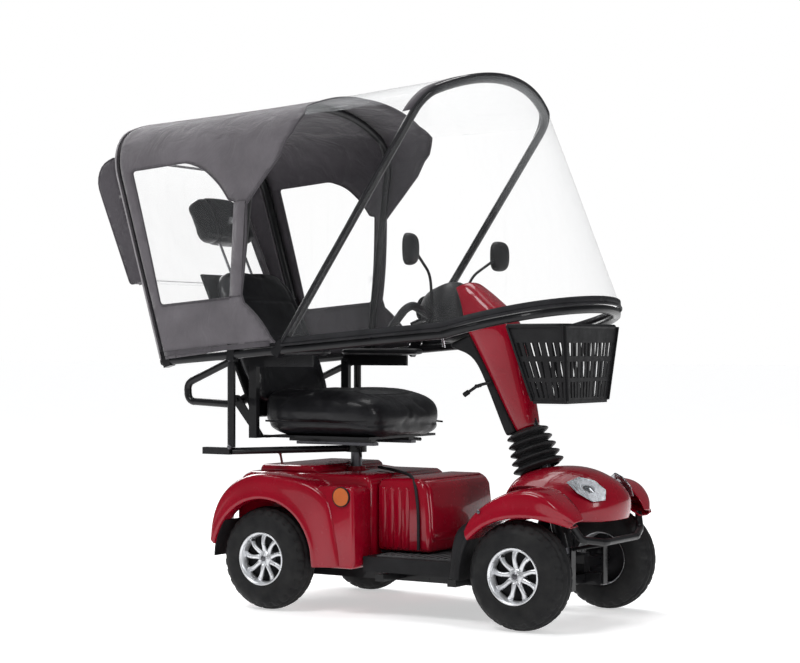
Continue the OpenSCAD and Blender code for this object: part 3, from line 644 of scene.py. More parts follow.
def two_faced(obj, outside, lining, thickness=0.0012):
    """Gives a sheet its thickness, with another material on the inner face."""
    obj.data.materials.clear()
    obj.data.materials.append(MAT[outside])
    obj.data.materials.append(MAT[lining])
    add_modifier(obj, "SOLIDIFY", thickness=thickness, offset=0.0, material_offset=1, material_offset_rim=0)
    return obj


def weld_mirror(obj):
    """Adds the other half across Y = 0 and joins the seam."""
    b = bmesh.new()
    b.from_mesh(obj.data)
    extra = bmesh.ops.duplicate(b, geom=b.verts[:] + b.edges[:] + b.faces[:])["geom"]
    for v in (g for g in extra if isinstance(g, bmesh.types.BMVert)):
        v.co.y = -v.co.y
    bmesh.ops.reverse_faces(b, faces=[g for g in extra if isinstance(g, bmesh.types.BMFace)])
    bmesh.ops.remove_doubles(b, verts=b.verts, dist=1e-4)
    bmesh.ops.recalc_face_normals(b, faces=b.faces)
    b.to_mesh(obj.data)
    b.free()
    return obj


# Side view outlines on the canopy, (u, w) in mm
WINDOW = rounded_outline([(-238, 182), (44, 182), (84, 486), (62, 492), (30, 545), (-30, 605), (-99, 634),
                          (-324, 634)], [16, 10, 6, 6, 40, 60, 20, 16], 6)
ENTRY = [(206, 26), (190, 44), (96, 160), (88, 190), (128, 470)]
FAN = [(128, 470), (150, 492), (205, 545), (268, 606), (322, 675), (352, 726)]

fan = side_cut(FAN)
roof_front = fan[-1]
outline = side_cut([(-231, 6)])[:1] + side_cut(ENTRY[:-1]) + fan
outline += [(roof_front[0] - 40 * t, roof_front[1] + (1400 - roof_front[1]) * t) for t in (0.25, 0.5, 0.75, 1.0)]
outline += [(2, 1400), (2, 1050), (2, 700), (2, 350)]
half_roof = cut_sheet("canopy_roof", outline, [side_cut(WINDOW)], side_place(1), 26)
roof = weld_mirror(half_roof)
two_faced(roof, "canopy_fabric", "lining")
finish_piece(roof, "canopy", "canopy_fabric", stands_for=["canopy_cover"])


def rear_place(off=0.0):
    def place(a, b):
        """a across, b up the rear hoop's plane, slightly full in the middle."""
        full = 8 * max(0.0, 1 - (a / 400) ** 2) * sin(pi * min(1, max(0, b / 830)))
        crease = 2.5 * noise.noise(Vector((a / 120, b / 160, 7)))
        lean = radians(REAR_HOOP[1])
        back = -(15.0 + off + full + crease)
        return on_canopy(REAR_HOOP[0] + b * sin(lean) + back * cos(lean), a, b * cos(lean) - back * sin(lean))
    return place


def rear_outline(stand_off, low, high):
    """The rear hoop's outline grown by stand_off, between two heights, as (across, up)."""
    half = [q for q in (arch(REAR_HOOP, k, stand_off) for k in np.linspace(0.0, 2, 90)) if low < q[0] < high]
    if high < 800:
        half.append((high, half[-1][1]))
    half = [(low, half[0][1])] + half
    return [(-y, s) for s, y in half] + [(y, s) for s, y in half[::-1]][1 if high > 800 else 0:]


rear_panel = cut_sheet("canopy_rear_panel", rear_outline(14.5, 6, 900), [rear_outline(-14, 26, 900)[::-1]],
                       rear_place(), 24)
two_faced(rear_panel, "canopy_fabric", "lining")
finish_piece(rear_panel, "canopy", "canopy_fabric")
for name, low, high, flat in (("canopy_rear_pane", 18, 288, (0.81, 0.28)),
                              ("canopy_rear_top_pane", 704, 900, (0.80, 0.13))):
    rear_pane = cut_sheet(name, rear_outline(4, low, high), [], rear_place(-1.5), 28)
    finish_piece(rear_pane, "canopy", "clear_sheet")

for side, sign in (("right", -1), ("left", 1)):
    window = cut_sheet(f"canopy_window_{side}", side_cut([(-90 + (u + 90) * 1.012, 400 + (w - 400) * 1.012) for u, w in WINDOW]),
                       [], side_place(sign, -1.4), 30)
    finish_piece(window, "canopy", "clear_sheet", stands_for=["canopy_windows"] if sign > 0 else ())
    border = side_cut(WINDOW)
    tube(f"window_binding_{side}", [side_place(sign, 0.6)(a, b) for a, b in dense(border, 20)], 0.0032,
         "canopy", "lining", closed=True)

# clear roof between the fabric and the front hoop, and the screen down to the rail
clear_lower = side_cut([(350, 722), (430, 712), (520, 700)])
k_entry = clear_lower[-1][1]
clear_outline = [roof_front] + [(1000 - 4, k_entry + 4)] + [(996, b) for b in (900, 1050, 1200, 1400)] \
    + [(roof_front[0] - 40 * t, roof_front[1] + (1400 - roof_front[1]) * t) for t in (1.0, 0.75, 0.5, 0.25)]
clear_roof = weld_mirror(cut_sheet("canopy_clear_roof", clear_outline, [], side_place(1, 0.8), 26))
finish_piece(clear_roof, "canopy", "clear_sheet", stands_for=["canopy_screen"])


def screen_place(a, b):
    u, y, w = screen_point(a / 1000, b / 700)
    return on_canopy(u, y, w)


screen = weld_mirror(cut_sheet("canopy_screen_sheet",
                               [(0, 60), (0, 700), (0, 1400), (985, 1400), (985, 1050), (985, 700), (985, 60)],
                               [], screen_place, 27))
finish_piece(screen, "canopy", "clear_sheet")


def along(make, start, end, count, sign=1):
    return [on_canopy(q[0], sign * q[1], q[2]) for q in (make(t) for t in np.linspace(start, end, count))]


# hems, bindings and piping
for side, sign in (("right", -1), ("left", 1)):
    tube(f"rear_piping_{side}", along(lambda k: hoop_point(REAR_HOOP, k, 17.5, -15), 0.02, 2, 60, sign), 0.0030,
         "canopy", "piping_grey")
    tube(f"front_piping_{side}", along(lambda k: hoop_point(FRONT_HOOP, k, 17.0, 3), 0.04, 2, 60, sign), 0.0034,
         "canopy", "trim_black")
    tube(f"rail_piping_{side}", along(lambda k: bow_point(k, 16.0, 14), 0.03, 2, 60, sign), 0.0042,
         "canopy", "trim_black")
    tube(f"fan_binding_{side}", [side_place(sign, 0.8)(a, b) for a, b in
                                 dense(side_cut(ENTRY[:-1]) + fan, 14, False)],
         0.0038, "canopy", "lining")
tube("roof_seam", [side_place(sign, 1.2)(roof_front[0] - 40 * t, roof_front[1] + (1400 - roof_front[1]) * t)
                   for sign, t in [(-1, t) for t in np.linspace(0, 1, 30)] + [(1, t) for t in np.linspace(1, 0, 30)[1:]]],
     0.0030, "canopy", "lining")


def hem_strip(name, make, start, end, count, width, material):
    """A flat sewn tape that follows a line on both sides of the canopy; make(k, across) gives (u, y, w)."""
    for side, sign in (("right", -1), ("left", 1)):
        rings = [[on_canopy(*(np.array(make(k, a)) * (1, sign, 1))) for a in (0, width)]
                 for k in np.linspace(start, end, count)]
        strip = loft(f"{name}_{side}", rings, closed=False)
        add_modifier(strip, "SOLIDIFY", thickness=0.0016, offset=0.0)
        finish_piece(strip, "canopy", material)


hem_strip("front_hoop_hem", lambda k, a: tunnel_point(1 - a / 900, k, 2.2), 1.02, 2, 50, 26, "lining")
hem_strip("post_sleeve", lambda k, a: (44 + a + k * 40, 417.6 + 1.2 * sin(pi * a / 44), 186 + k * 296), 0, 1, 24, 44,
          "canopy_fabric")
hem_strip("rail_hem", lambda k, a: bow_point(k, 15.6, 16 + a), 0.05, 2, 60, 20, "trim_black")
hem_strip("rear_hem", lambda k, a: (-233 + k * 420, 417.0, 16 + a), 0, 1, 20, 16, "lining")

# ------------------------------------------------------------------ rear hood


def hood_point(across, up, deep):
    """A place behind the rear hoop: across, up its plane and away from it, in mm."""
    lean = radians(REAR_HOOP[1])
    return on_canopy(REAR_HOOP[0] + up * sin(lean) - deep * cos(lean), across, up * cos(lean) + deep * sin(lean))


def hood_half(up):
    """Half width of the hood at a height up the hoop: it follows the hoop's own corners."""
    over = min(1.0, max(0.0, (up - 635) / 173))
    return 409 - 173 * (1 - cos(asin(over)))


HOOD = dense(rounded_outline([(283, 17), (284, 71), (573, 101), (650, 108), (712, 84), (717, 17)],
                             [0, 14, 60, 40, 34, 0], 6), 12, False)[:-1]
HOOD = [p for p in HOOD if p[1] >= 17]
HOOD_RUN = [0.0]
for (u0, d0), (u1, d1) in zip(HOOD, HOOD[1:]):
    HOOD_RUN.append(HOOD_RUN[-1] + sqrt((u1 - u0) ** 2 + (d1 - d0) ** 2))


def hood_wrap(off=0.0):
    def place(a, b):
        """a across from -400 to 400, b along the side view from the bottom round to the top."""
        up = float(np.interp(b, HOOD_RUN, [p[0] for p in HOOD]))
        deep = float(np.interp(b, HOOD_RUN, [p[1] for p in HOOD]))
        puff = 3.0 * noise.noise(Vector((a / 90, b / 70, 2.2)))
        return hood_point(a / 400 * hood_half(up), up, deep + off + (puff if 20 < b < HOOD_RUN[-1] - 20 else 0))
    return place


def hood_side(sign):
    def place(a, b):
        crease = 2.5 * noise.noise(Vector((a / 60, b / 110, 5.0 + sign)))
        return hood_point(sign * (hood_half(b) - 0.6 + crease), b, a)
    return place


def run_at(height):
    """How far along the wrap the hood's back is at a height."""
    rear = [(r, p[0]) for r, p in zip(HOOD_RUN, HOOD) if p[1] > 70]
    return float(np.interp(height, [q[1] for q in rear[:-14]], [q[0] for q in rear[:-14]]))


pane_cut = rounded_outline([(-362, 2), (362, 2), (352, HOOD_RUN[-1] - 9), (-352, HOOD_RUN[-1] - 9)], [8, 8, 30, 30])
wrap = cut_sheet("wrap", [(-400, 0), (400, 0), (400, HOOD_RUN[-1]), (-400, HOOD_RUN[-1])], [pane_cut], hood_wrap(), 17)
gussets = [cut_sheet("gusset", [(d, up) for up, d in HOOD], [], hood_side(sign), 14) for sign in (-1, 1)]
hood = joined("canopy_rear_hood", [wrap] + gussets)
two_faced(hood, "canopy_fabric", "lining")
finish_piece(hood, "canopy", "canopy_fabric", stands_for=["canopy_hood"])
hood_pane = cut_sheet("canopy_hood_pane", [(x * 1.02, y + (3 if y > run_at(470) else -3)) for x, y in pane_cut], [],
                      hood_wrap(-1.5), 24)
finish_piece(hood_pane, "canopy", "clear_sheet")
tube("hood_pane_binding", [hood_wrap(0.8)(a, b) for a, b in dense(pane_cut, 18) if b > 16], 0.003,
     "canopy", "lining")
for side, sign in (("right", -1), ("left", 1)):
    tube(f"hood_piping_{side}", [hood_point(sign * hood_half(up), up, d) for up, d in HOOD[::2]], 0.0030,
         "canopy", "lining")

# ------------------------------------------------------------------ seat


def cage(name, sections, place, count=28, power=3.0):
    """A closed form from sections of (position, centre, half depth, half width), skinned along position."""
    rings = []
    for s, centre, depth, half in sections:
        rings.append([place(s, y, centre + d) for d, y in rounded_ring(0, 0, depth, half, count, power)])
    return loft(name, rings)


def inflate(obj, voxel, pressure, cap):
    """Puffs a closed form as foam under tight vinyl, each point moving at most cap metres."""
    add_modifier(obj, "SUBSURF", levels=2, render_levels=2)
    add_modifier(obj, "REMESH", mode="VOXEL", voxel_size=voxel, use_smooth_shade=True)
    apply_modifiers(obj)
    start = np.array([v.co for v in obj.data.vertices])
    cloth = obj.modifiers.new("cloth", "CLOTH")
    cloth.settings.use_pressure = True
    cloth.settings.uniform_pressure_force = pressure
    cloth.settings.tension_stiffness = cloth.settings.compression_stiffness = 20
    cloth.settings.shear_stiffness = 8
    cloth.settings.effector_weights.gravity = 0
    cloth.point_cache.frame_start, cloth.point_cache.frame_end = 1, 14
    for f in range(1, 15):
        bpy.context.scene.frame_set(f)
    graph = bpy.context.evaluated_depsgraph_get()
    blown = obj.evaluated_get(graph).data
    moved = np.array([v.co for v in blown.vertices]) - start
    obj.modifiers.clear()
    far = np.linalg.norm(moved, axis=1)
    scale = np.minimum(1, cap / np.maximum(far, 1e-9))
    for v, step in zip(obj.data.vertices, moved * scale[:, None]):
        v.co += Vector(step)
    bpy.context.scene.frame_set(1)
    add_modifier(obj, "SMOOTH", factor=0.5, iterations=4)
    return apply_modifiers(obj)


def press_lines(obj, lines, depth, width):
    """Sinks sewn channels; each line gives the signed distance of a point from it, in metres."""
    for v in obj.data.vertices:
        sunk = 0.0
        for distance in lines:
            d = distance(v.co)
            if d is not None:
                sunk = max(sunk, depth * np.exp(-(d / width) ** 2))
        if sunk:
            v.co -= v.normal * float(sunk)


seat = cage("seat_cushion_vinyl", [
    (-98, 644, 40, 170), (-88, 636, 66, 204), (-50, 627, 77, 224), (20, 625, 77, 231), (100, 627, 78, 233),
    (200, 625, 76, 233), (265, 621, 72, 230), (315, 614, 65, 218), (342, 604, 54, 196), (354, 598, 34, 160)],
    lambda s, y, z: at(s, y, z), 32, 4.4)
seat = inflate(seat, 0.009, 2.0, 0.007)
for v in seat.data.vertices:
    x, y, z = (v.co.x - REAR_AXLE_X) * 1000, v.co.y * 1000, v.co.z * 1000
    if z > 640:                                   # bolsters stand proud of the seat's middle
        dip = 16 * np.exp(-(y / 135) ** 6) * np.exp(-((x - 130) / 190) ** 6)
        v.co.z -= dip / 1000
    if z < 560:
        v.co.z = max(v.co.z, 0.549)
press_lines(seat, [lambda c: abs(abs(c.y) - 0.150) if c.z > 0.63 and c.x < at(300, 0, 0).x else None,
                   lambda c: abs(c.x - at(262, 0, 0).x) if abs(c.y) < 0.150 and c.z > 0.63 else None,
                   lambda c: abs(c.z - 0.592)], 0.005, 0.006)
add_modifier(seat, "SUBSURF", levels=1, render_levels=1)
finish_piece(seat, "seat", "vinyl", stands_for=["seat_cushion"])

back = cage("backrest_vinyl", [
    (72, 0, 20, 165), (84, 0, 27, 196), (130, 1, 32, 214), (220, 4, 36, 218), (320, 6, 36, 218),
    (420, 6, 35, 214), (490, 4, 34, 200), (535, 2, 30, 168), (556, 0, 20, 130)],
    lambda s, y, z: on_back(z, y, s), 32, 3.4)
back = inflate(back, 0.009, 2.0, 0.007)
inverse = Matrix.Rotation(RECLINE, 3, "Y")
hinge = at(-78, 0, 590)


def back_height(c):
    return (inverse @ (c - hinge)).z


press_lines(back, [lambda c: abs(abs(c.y) - 0.145) if 0.1 < back_height(c) < 0.52 else None,
                   lambda c: abs(back_height(c) - 0.30) if abs(c.y) < 0.145 else None,
                   lambda c: abs(back_height(c) - 0.43) if abs(c.y) < 0.145 else None], 0.005, 0.006)
add_modifier(back, "SUBSURF", levels=1, render_levels=1)
finish_piece(back, "back", "vinyl", stands_for=["backrest_cushion"])

head = cage("headrest_vinyl", [
    (-130, -22, 26, 62), (-125, -22, 34, 76), (-60, -22, 36, 86), (0, -22, 36, 88), (60, -22, 36, 86),
    (125, -22, 34, 76), (130, -22, 26, 62)],
    lambda s, y, z: on_back(z, s, 760 + y), 28, 4.2)
head = inflate(head, 0.007, 2.0, 0.004)
press_lines(head, [lambda c: abs(abs(c.y) - 0.082)], 0.004, 0.005)
add_modifier(head, "SUBSURF", levels=1, render_levels=1)
finish_piece(head, "head", "vinyl", stands_for=["headrest_cushion"])

for side, sign in (("right", -1), ("left", 1)):
    pad = cage(f"armrest_pad_{side}_vinyl", [
        (-95, 824, 6, 18), (-90, 824, 10, 28), (-60, 824, 12, 33), (40, 824, 12, 34), (150, 824, 12, 33),
        (206, 824, 11, 30), (214, 824, 7, 20)], lambda s, y, z, sign=sign: at(s, sign * 281 + y, z), 20, 3.0)
    add_modifier(pad, "SUBSURF", levels=2, render_levels=2)
    finish_piece(pad, f"arm_{side}", "vinyl", stands_for=[f"armrest_pad_{side}"])
    tube(f"seat_piping_{side}", [at(x, sign * 234, z) for x, z in
                                 [(-60, 600), (40, 596), (160, 596), (270, 594), (330, 590)]], 0.0032,
         "seat", "trim_black", 0.03)

# ------------------------------------------------------------------ wheels


def wheel_place(x, sign):
    """radial offsets across the axle, and y along it"""
    return lambda rx, rz, y: at(x + rx, sign * y, 165 + rz)


def tyre_ring(name, x, sign, body, cad_node):
    place, steps = wheel_place(x, sign), 168
    section = [(83, 246), (86, 238.5), (94, 236)] + \
        [(107 + 57.2 * cos(radians(a)), 292 + 57.2 * sin(radians(a))) for a in np.linspace(-72, 72, 41)] + \
        [(94, 348), (86, 345.5), (83, 338)]
    rings = []
    for k in range(steps):
        angle = 2 * pi * k / steps
        ring = []
        for r, y in section:
            side_pull = abs(y - 292)
            groove = 0.0
            if r > 135 and side_pull < 46:
                rib = 4.0 if abs(side_pull - 9) < 2.6 or abs(side_pull - 26) < 2.6 else 0.0
                lug = 4.0 if side_pull > 26 and (k % 6) < 2 else 0.0
                notch = 3.0 if 9 < side_pull < 26 and ((k + (3 if y > 292 else 0)) % 6) < 1 else 0.0
                groove = max(rib, lug, notch)
            if 112 < r < 128 and side_pull > 40:
                groove = -0.8
            ring.append(place((r - groove) * cos(angle), (r - groove) * sin(angle), y))
        rings.append(ring)
    rings.append(rings[0])
    tyre = loft(name, rings, closed=False)
    finish_piece(tyre, body, "tyre", stands_for=[cad_node])


def spoked_rim(name, x, sign, body, cad_node):
    place = wheel_place(x, sign)
    metal = [revolve("lip", [(79, 250), (83, 243), (84.5, 241), (84.5, 250), (83, 300), (83, 338), (85, 343.5),
                             (83.5, 345.5), (80, 345), (77, 341), (74.5, 334), (73, 324), (73, 312), (79, 308), (79, 250)],
                     96, place),
             revolve("hub", [(0, 330.5), (9, 330.5), (11, 329), (11, 326), (19, 325), (23.5, 322), (25, 316), (25, 296)],
                     48, place)]
    count = 9
    for i in range(count):
        turn = 2 * pi * i / count + 0.2
        rings = []
        for t in np.linspace(0, 1, 9):
            r = 20 + 56 * t
            half = 8.4 - 2.0 * sin(pi * t) + 2.4 * t ** 4
            out = 320 + 4.0 * sin(pi * t * 0.9) - 2 * t
            sweep = 0.10 * sin(pi * t)
            ring = []
            for across, up in [(-1, -5), (-1, 0), (-0.62, 2.6), (0, 3.4), (0.62, 2.6), (1, 0), (1, -5)]:
                a = turn + sweep
                ring.append(place(r * cos(a) - across * half * sin(a), r * sin(a) + across * half * cos(a), out + up))
            rings.append(ring)
        metal.append(loft("spoke", rings))
    for i in range(5):
        a = 2 * pi * i / 5
        metal.append(revolve("bolt", [(0, 329.2), (2.6, 329.2), (3.4, 328), (3.4, 322)], 12,
                             lambda rx, rz, y, a=a: place(rx + 16.5 * cos(a), rz + 16.5 * sin(a), y)))
    rim = joined(name, metal)
    finish_piece(rim, body, "silver_rim", stands_for=[cad_node])
    dark = revolve(f"{name}_drum", [(0, 298), (70, 298), (79, 304), (79, 296), (20, 288), (0, 288)], 64, place)
    finish_piece(dark, body, "trim_black")
    cap = revolve(f"{name}_cap", [(0, 334.5), (4, 334), (8, 332.4), (9.6, 330.6), (9.6, 328)], 32, place)
    finish_piece(cap, body, "dark_steel")
    tube(f"{name}_valve", [place(70 * cos(2.2), 70 * sin(2.2), y) for y in (322, 334)], 0.0032, body, "trim_black")


for end, x in (("rear", 0), ("front", 910)):
    for side, sign in (("right", -1), ("left", 1)):
        body = f"wheel_{end}_{side}"
        tyre_ring(f"tyre_{end}_{side}_rubber", x, sign, body, f"tyre_{end}_{side}")
        spoked_rim(f"rim_{end}_{side}_metal", x, sign, body, f"rim_{end}_{side}")

# ------------------------------------------------------------------ rear body


def flanked(name, outline, y0, y1, width, segments=4):
    """The same prism on both sides of the middle, with rounded edges, as one mesh."""
    halves = []
    for sign in (-1, 1):
        half = prism(name, outline, sign * y0, sign * y1)
        halves.append(bevelled(half, width, segments))
    return joined(name, halves)


def flare(name, lip, crest, face, inner, tuck=0):
    """A wheel arch skin: from inside the lip, over its rolled edge and face, round the crest and inwards."""
    rings = []
    for t in np.linspace(0, 1, 44):
        a, b = follow(lip, t), follow(crest, t)
        out = (b - a) / np.linalg.norm(b - a)
        pull = tuck * max(0.0, 1 - t / 0.3) ** 2
        row = [(a - 2 * out, inner), (a - 2 * out, face - 26), (a - 3 * out, face - 10), (a - out, face - 2),
               (a + 6 * out, face), (a + 14 * out, face - 1), (a + 20 * out, face - 4), (b - 18 * out, face - 5), (b - 7 * out, face - 9),
               (b - out, face - 20), (b + 2 * out, face - 38), (b + 3 * out, face - 70), (b + 3 * out, 215)]
        rings.append([(x, max(y - pull, min(y, 215)), z) for (x, z), y in row])
    halves = []
    for sign in (-1, 1):
        half = loft(name, [[at(x, sign * y, z) for x, y, z in ring] for ring in rings], closed=False)
        add_modifier(half, "SUBSURF", levels=2, render_levels=2)
        add_modifier(half, "SOLIDIFY", thickness=0.003, offset=-1)
        halves.append(half)
    return joined(name, halves)


def follow(line, t):
    """The point a share t of the way along a line of (x, z) points."""
    line = np.array(line, float)
    for _ in range(3):                            # corners cut off three times give a smooth curve
        cut = [line[:-1] * 0.75 + line[1:] * 0.25, line[:-1] * 0.25 + line[1:] * 0.75]
        line = np.vstack([line[:1], np.stack(cut, 1).reshape(-1, 2), line[-1:]])
    run = np.concatenate([[0], np.cumsum(np.hypot(*np.diff(line, axis=0).T))])
    return np.array([np.interp(t * run[-1], run, line[:, c]) for c in (0, 1)])


rear_lip = arc((0, 165), 192, 168, 2, 24) + [(195, 150)]
rear_crest = [(-212, 226), (-206, 276), (-188, 330), (-155, 378), (-100, 418), (-26, 438), (72, 430), (150, 420), (190, 409),
              (229, 387), (258, 355), (270, 300), (278, 259), (291, 196), (294, 154)]
deck_side = [(-178, 152), (-178, 380), (-160, 418), (-125, 435), (318, 435), (340, 424), (345, 404), (345, 152)]
panel_side = [(196, 150), (196, 392), (214, 404), (330, 405), (344, 390), (346, 180), (338, 150)]
raised_side = [(-108, 430), (-102, 452), (-90, 457), (100, 457), (114, 450), (119, 430)]
parts = [flare("flares", rear_lip, rear_crest, 346, 300),
         flanked("panels", panel_side, 225, 330, 0.010, 5),
         bevelled(prism("deck", deck_side, -231.5, 231.5), 0.014, 4),
         bevelled(prism("raised", raised_side, -204, 204), 0.009, 3)]
rear_body = joined("rear_body_shell", parts)
finish_piece(rear_body, "body", "red_gloss", stands_for=["rear_body"])

box_side = [(348, 200), (348, 412), (362, 425), (392, 428), (496, 428), (520, 418), (532, 396), (541, 330), (545, 262), (545, 200)]
box = bevelled(prism("battery_box", box_side, -203, 203), 0.016, 4)
cap_side = [(486, 226), (486, 404), (490, 420), (508, 425), (526, 414), (538, 396), (546, 330), (549, 268), (549, 226)]
front_cap = bevelled(prism("battery_cap", cap_side, -196, 196), 0.018, 4)
ribs = []
for x in (366, 394, 422, 450):
    for sign in (-1, 1):
        rib = prism("rib", [(x, 210), (x, 392), (x + 4, 400), (x + 15, 400), (x + 19, 392), (x + 19, 210)],
                    sign * 198, sign * 208)
        ribs.append(bevelled(rib, 0.005, 3))
battery_cover = joined("battery_cover_shell", [box, front_cap] + ribs)
finish_piece(battery_cover, "body", "red_gloss", stands_for=["battery_cover"])
tube("battery_strap", [at(*p) for p in [(227, 0, 446), (330, -70, 444), (439, -150, 437), (491, -207, 421), (506, -210, 330),
                                        (506, -210, 209)]], 0.005, "body", "trim_black", 0.05)

# ------------------------------------------------------------------ nose, front fenders and lights

# Centre line of the nose from the tiller to the bumper, then lines further out; all (x, z) in mm
NOSE = {
    0: [(772, 300), (772, 428), (812, 462), (888, 475), (972, 474),
        (1030, 458), (1085, 432), (1118, 396), (1117, 350), (1108, 318)],
    55: [(772, 300), (772, 427), (812, 460), (888, 473), (968, 470),
        (1022, 452), (1074, 426), (1106, 390), (1108, 348), (1098, 316)],
    100: [(774, 300), (774, 424), (814, 452), (884, 464), (950, 458),
        (1003, 440), (1052, 414), (1082, 380), (1088, 346), (1076, 315)],
    135: [(778, 300), (778, 418), (816, 440), (876, 446), (932, 438),
        (982, 420), (1022, 394), (1048, 366), (1052, 340), (1042, 316)],
    165: [(784, 300), (784, 404), (818, 418), (868, 420), (920, 414),
        (960, 398), (990, 374), (1010, 350), (1016, 334), (1010, 318)],
}
levels = sorted(NOSE)
nose_rings = [[at(x, -y, z) for x, z in NOSE[y]] for y in levels[:0:-1]] + [[at(x, y, z) for x, z in NOSE[y]] for y in levels]
nose = loft("nose", nose_rings, closed=False)
add_modifier(nose, "SUBSURF", levels=3, render_levels=3)
add_modifier(nose, "SOLIDIFY", thickness=0.0035, offset=-1)
front_lip = [(1062, 309), (1036, 324), (969, 343), (869, 334), (802, 307), (754, 266)]
front_crest = [(1076, 326), (1056, 366), (994, 418), (911, 420), (827, 388), (764, 340), (738, 300)]
front_fenders = flare("front_fenders", front_lip, front_crest, 346, 250, 70)
nose_shell = joined("nose_cover_shell", [nose, front_fenders])
finish_piece(nose_shell, "body", "red_gloss", stands_for=["nose_shell"])
flap_lip, flap_crest = [(756, 268), (736, 225), (726, 175), (724, 142)], [(745, 318), (707, 292), (689, 226), (682, 148)]
finish_piece(flare("front_flaps", flap_lip, flap_crest, 343, 225), "body", "black_plastic")

for side, sign in (("right", -1), ("left", 1)):
    corners = [(984, 152, 432), (1014, 122, 448), (1052, 96, 438), (1088, 84, 408), (1092, 96, 376), (1062, 124, 372), (1020, 146, 398)]
    middle = np.mean(corners, 0)
    corners = [tuple(np.array(c) + (np.array(d) - c) * t)
               for c, d in zip(corners, corners[1:] + corners[:1]) for t in (0, 0.2, 0.5, 0.8)]

    def glass(scale, proud, sign=sign, corners=corners, middle=middle):
        """The lamp's outline, shrunk towards its middle and pushed out along the nose's slant."""
        push = proud * np.array([0.62, 0.42, 0.66])
        return [at(*(np.array([1, sign, 1]) * (middle + (np.array(c) - middle) * scale + push))) for c in corners]

    lens = loft(f"headlight_lens_{side}", [glass(*q) for q in ((1.0, 0), (0.92, 7), (0.7, 12), (0.4, 15), (0.1, 16))])
    add_modifier(lens, "SUBSURF", levels=2, render_levels=2)
    finish_piece(lens, "body", "clear_lens", stands_for=["headlights"] if sign > 0 else ())
    bowl = [glass(*q) for q in ((0.97, 5), (0.93, 1), (0.62, -3), (0.60, 2), (0.34, -4), (0.32, 5), (0.12, 8), (0.02, 8.5))]
    bowl = loft(f"headlight_bowl_{side}", bowl)
    bevelled(bowl, 0.0012, 2, 25)
    finish_piece(bowl, "body", "lamp_silver")
    ring = revolve(f"reflector_ring_{side}", [(28.4, 331), (31.5, 331), (31.5, 335.5), (29.5, 337), (28.4, 336)], 48,
                   lambda rx, rz, y, sign=sign: at(300 + rx, sign * y, 373 + rz))
    finish_piece(ring, "body", "black_plastic")
    screw = revolve(f"fender_screw_{side}", [(0, 348), (3, 347.6), (5.5, 346), (6, 344)], 20,
                    lambda rx, rz, y, sign=sign: at(795 + rx, sign * y, 350 + rz))
    finish_piece(screw, "body", "dark_steel")

# ------------------------------------------------------------------ bellows and tiller

folds = []
for i in range(81):
    t = i / 80
    wave = 0.5 - 0.5 * cos(2 * pi * 5 * t)
    r = 64 - 12 * t + 20 * wave ** 0.7 - 6 * t
    folds.append([on_tiller(r * cos(a) - 27, r * sin(a), -42 + 130 * t) for a in np.linspace(0, 2 * pi, 64, endpoint=False)])
bellows = loft("bellows_rubber_sleeve", folds, caps=False)
finish_piece(bellows, "steering", "bellows_rubber", stands_for=["bellows"])
bellows.parent = None
del bellows["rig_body"]
on_tiller(0, 0, 0)
on_tiller(0, 0, 88)
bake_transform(bellows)


def tiller_loft(name, sections, material, stands_for=(), count=32, power=3.4, thick=None):
    """Sections (z, rear x, front x, half width) up the tiller, skinned and smoothed."""
    rings = [[on_tiller(x, y, z) for x, y in rounded_ring((a + b) / 2, 0, (b - a) / 2, half, count, power)]
             for z, a, b, half in sections]
    obj = loft(name, rings)
    add_modifier(obj, "SUBSURF", levels=2, render_levels=2)
    return finish_piece(obj, "tiller", material, stands_for=stands_for)


tiller_loft("tiller_cover_red", [
    (86, -46, 9, 38), (92, -50, 13, 42), (150, -59, 25, 45), (220, -67, 37, 48), (300, -77, 50, 52), (360, -84, 58, 57),
    (404, -89, 62, 62), (432, -93, 58, 65), (470, -98, 42, 66), (505, -106, 22, 62), (541, -114, 2, 56),
    (575, -121, -20, 48), (596, -124, -36, 38)], "red_gloss", ["tiller_cover_front"])
tiller_loft("tiller_cover_black", [
    (88, -84, -44, 36), (94, -88, -46, 38), (180, -90, -54, 40), (273, -92, -62, 42), (335, -96, -70, 45),
    (371, -112, -74, 47), (395, -138, -76, 48), (413, -164, -78, 48), (436, -180, -80, 48)], "black_plastic", ["tiller_cover_rear"], power=4.5)
tiller_loft("console_shell", [
    (438, -178, -88, 62), (444, -186, -84, 70), (480, -212, -70, 88), (520, -230, -64, 97), (556, -234, -66, 94),
    (590, -222, -74, 76), (612, -198, -86, 56), (619, -170, -100, 36)], "black_plastic", ["console"], power=3.0)
dash = loft("console_panel", [[on_tiller(x, y, z) for x, y, z in row] for row in (
    [(-236, -62, 536), (-236, 0, 538), (-236, 62, 536)], [(-228, -64, 580), (-229, 0, 584), (-228, 64, 580)],
    [(-206, -48, 608), (-206, 0, 613), (-206, 48, 608)])], closed=False)
add_modifier(dash, "SUBSURF", levels=2, render_levels=2)
add_modifier(dash, "SOLIDIFY", thickness=0.004, offset=1)
finish_piece(dash, "tiller", "trim_black")
lock = revolve("ignition_lock", [(9.2, 70), (13, 70), (14.5, 74), (14.5, 79), (12, 81), (9.2, 80)], 32,
               lambda rx, rz, y: on_tiller(-150 + rx, -y, 470 + rz))
finish_piece(lock, "tiller", "bright_steel")
for i, (x, z) in enumerate(((-156, 446), (-149, 440))):
    tube(f"key_bunch_{i}", [on_tiller(-150, -96, 468), on_tiller(x, -98 - 2 * i, z), on_tiller(x - 4, -99 - 2 * i, z - 26)],
         0.0026, "key", "bright_steel")

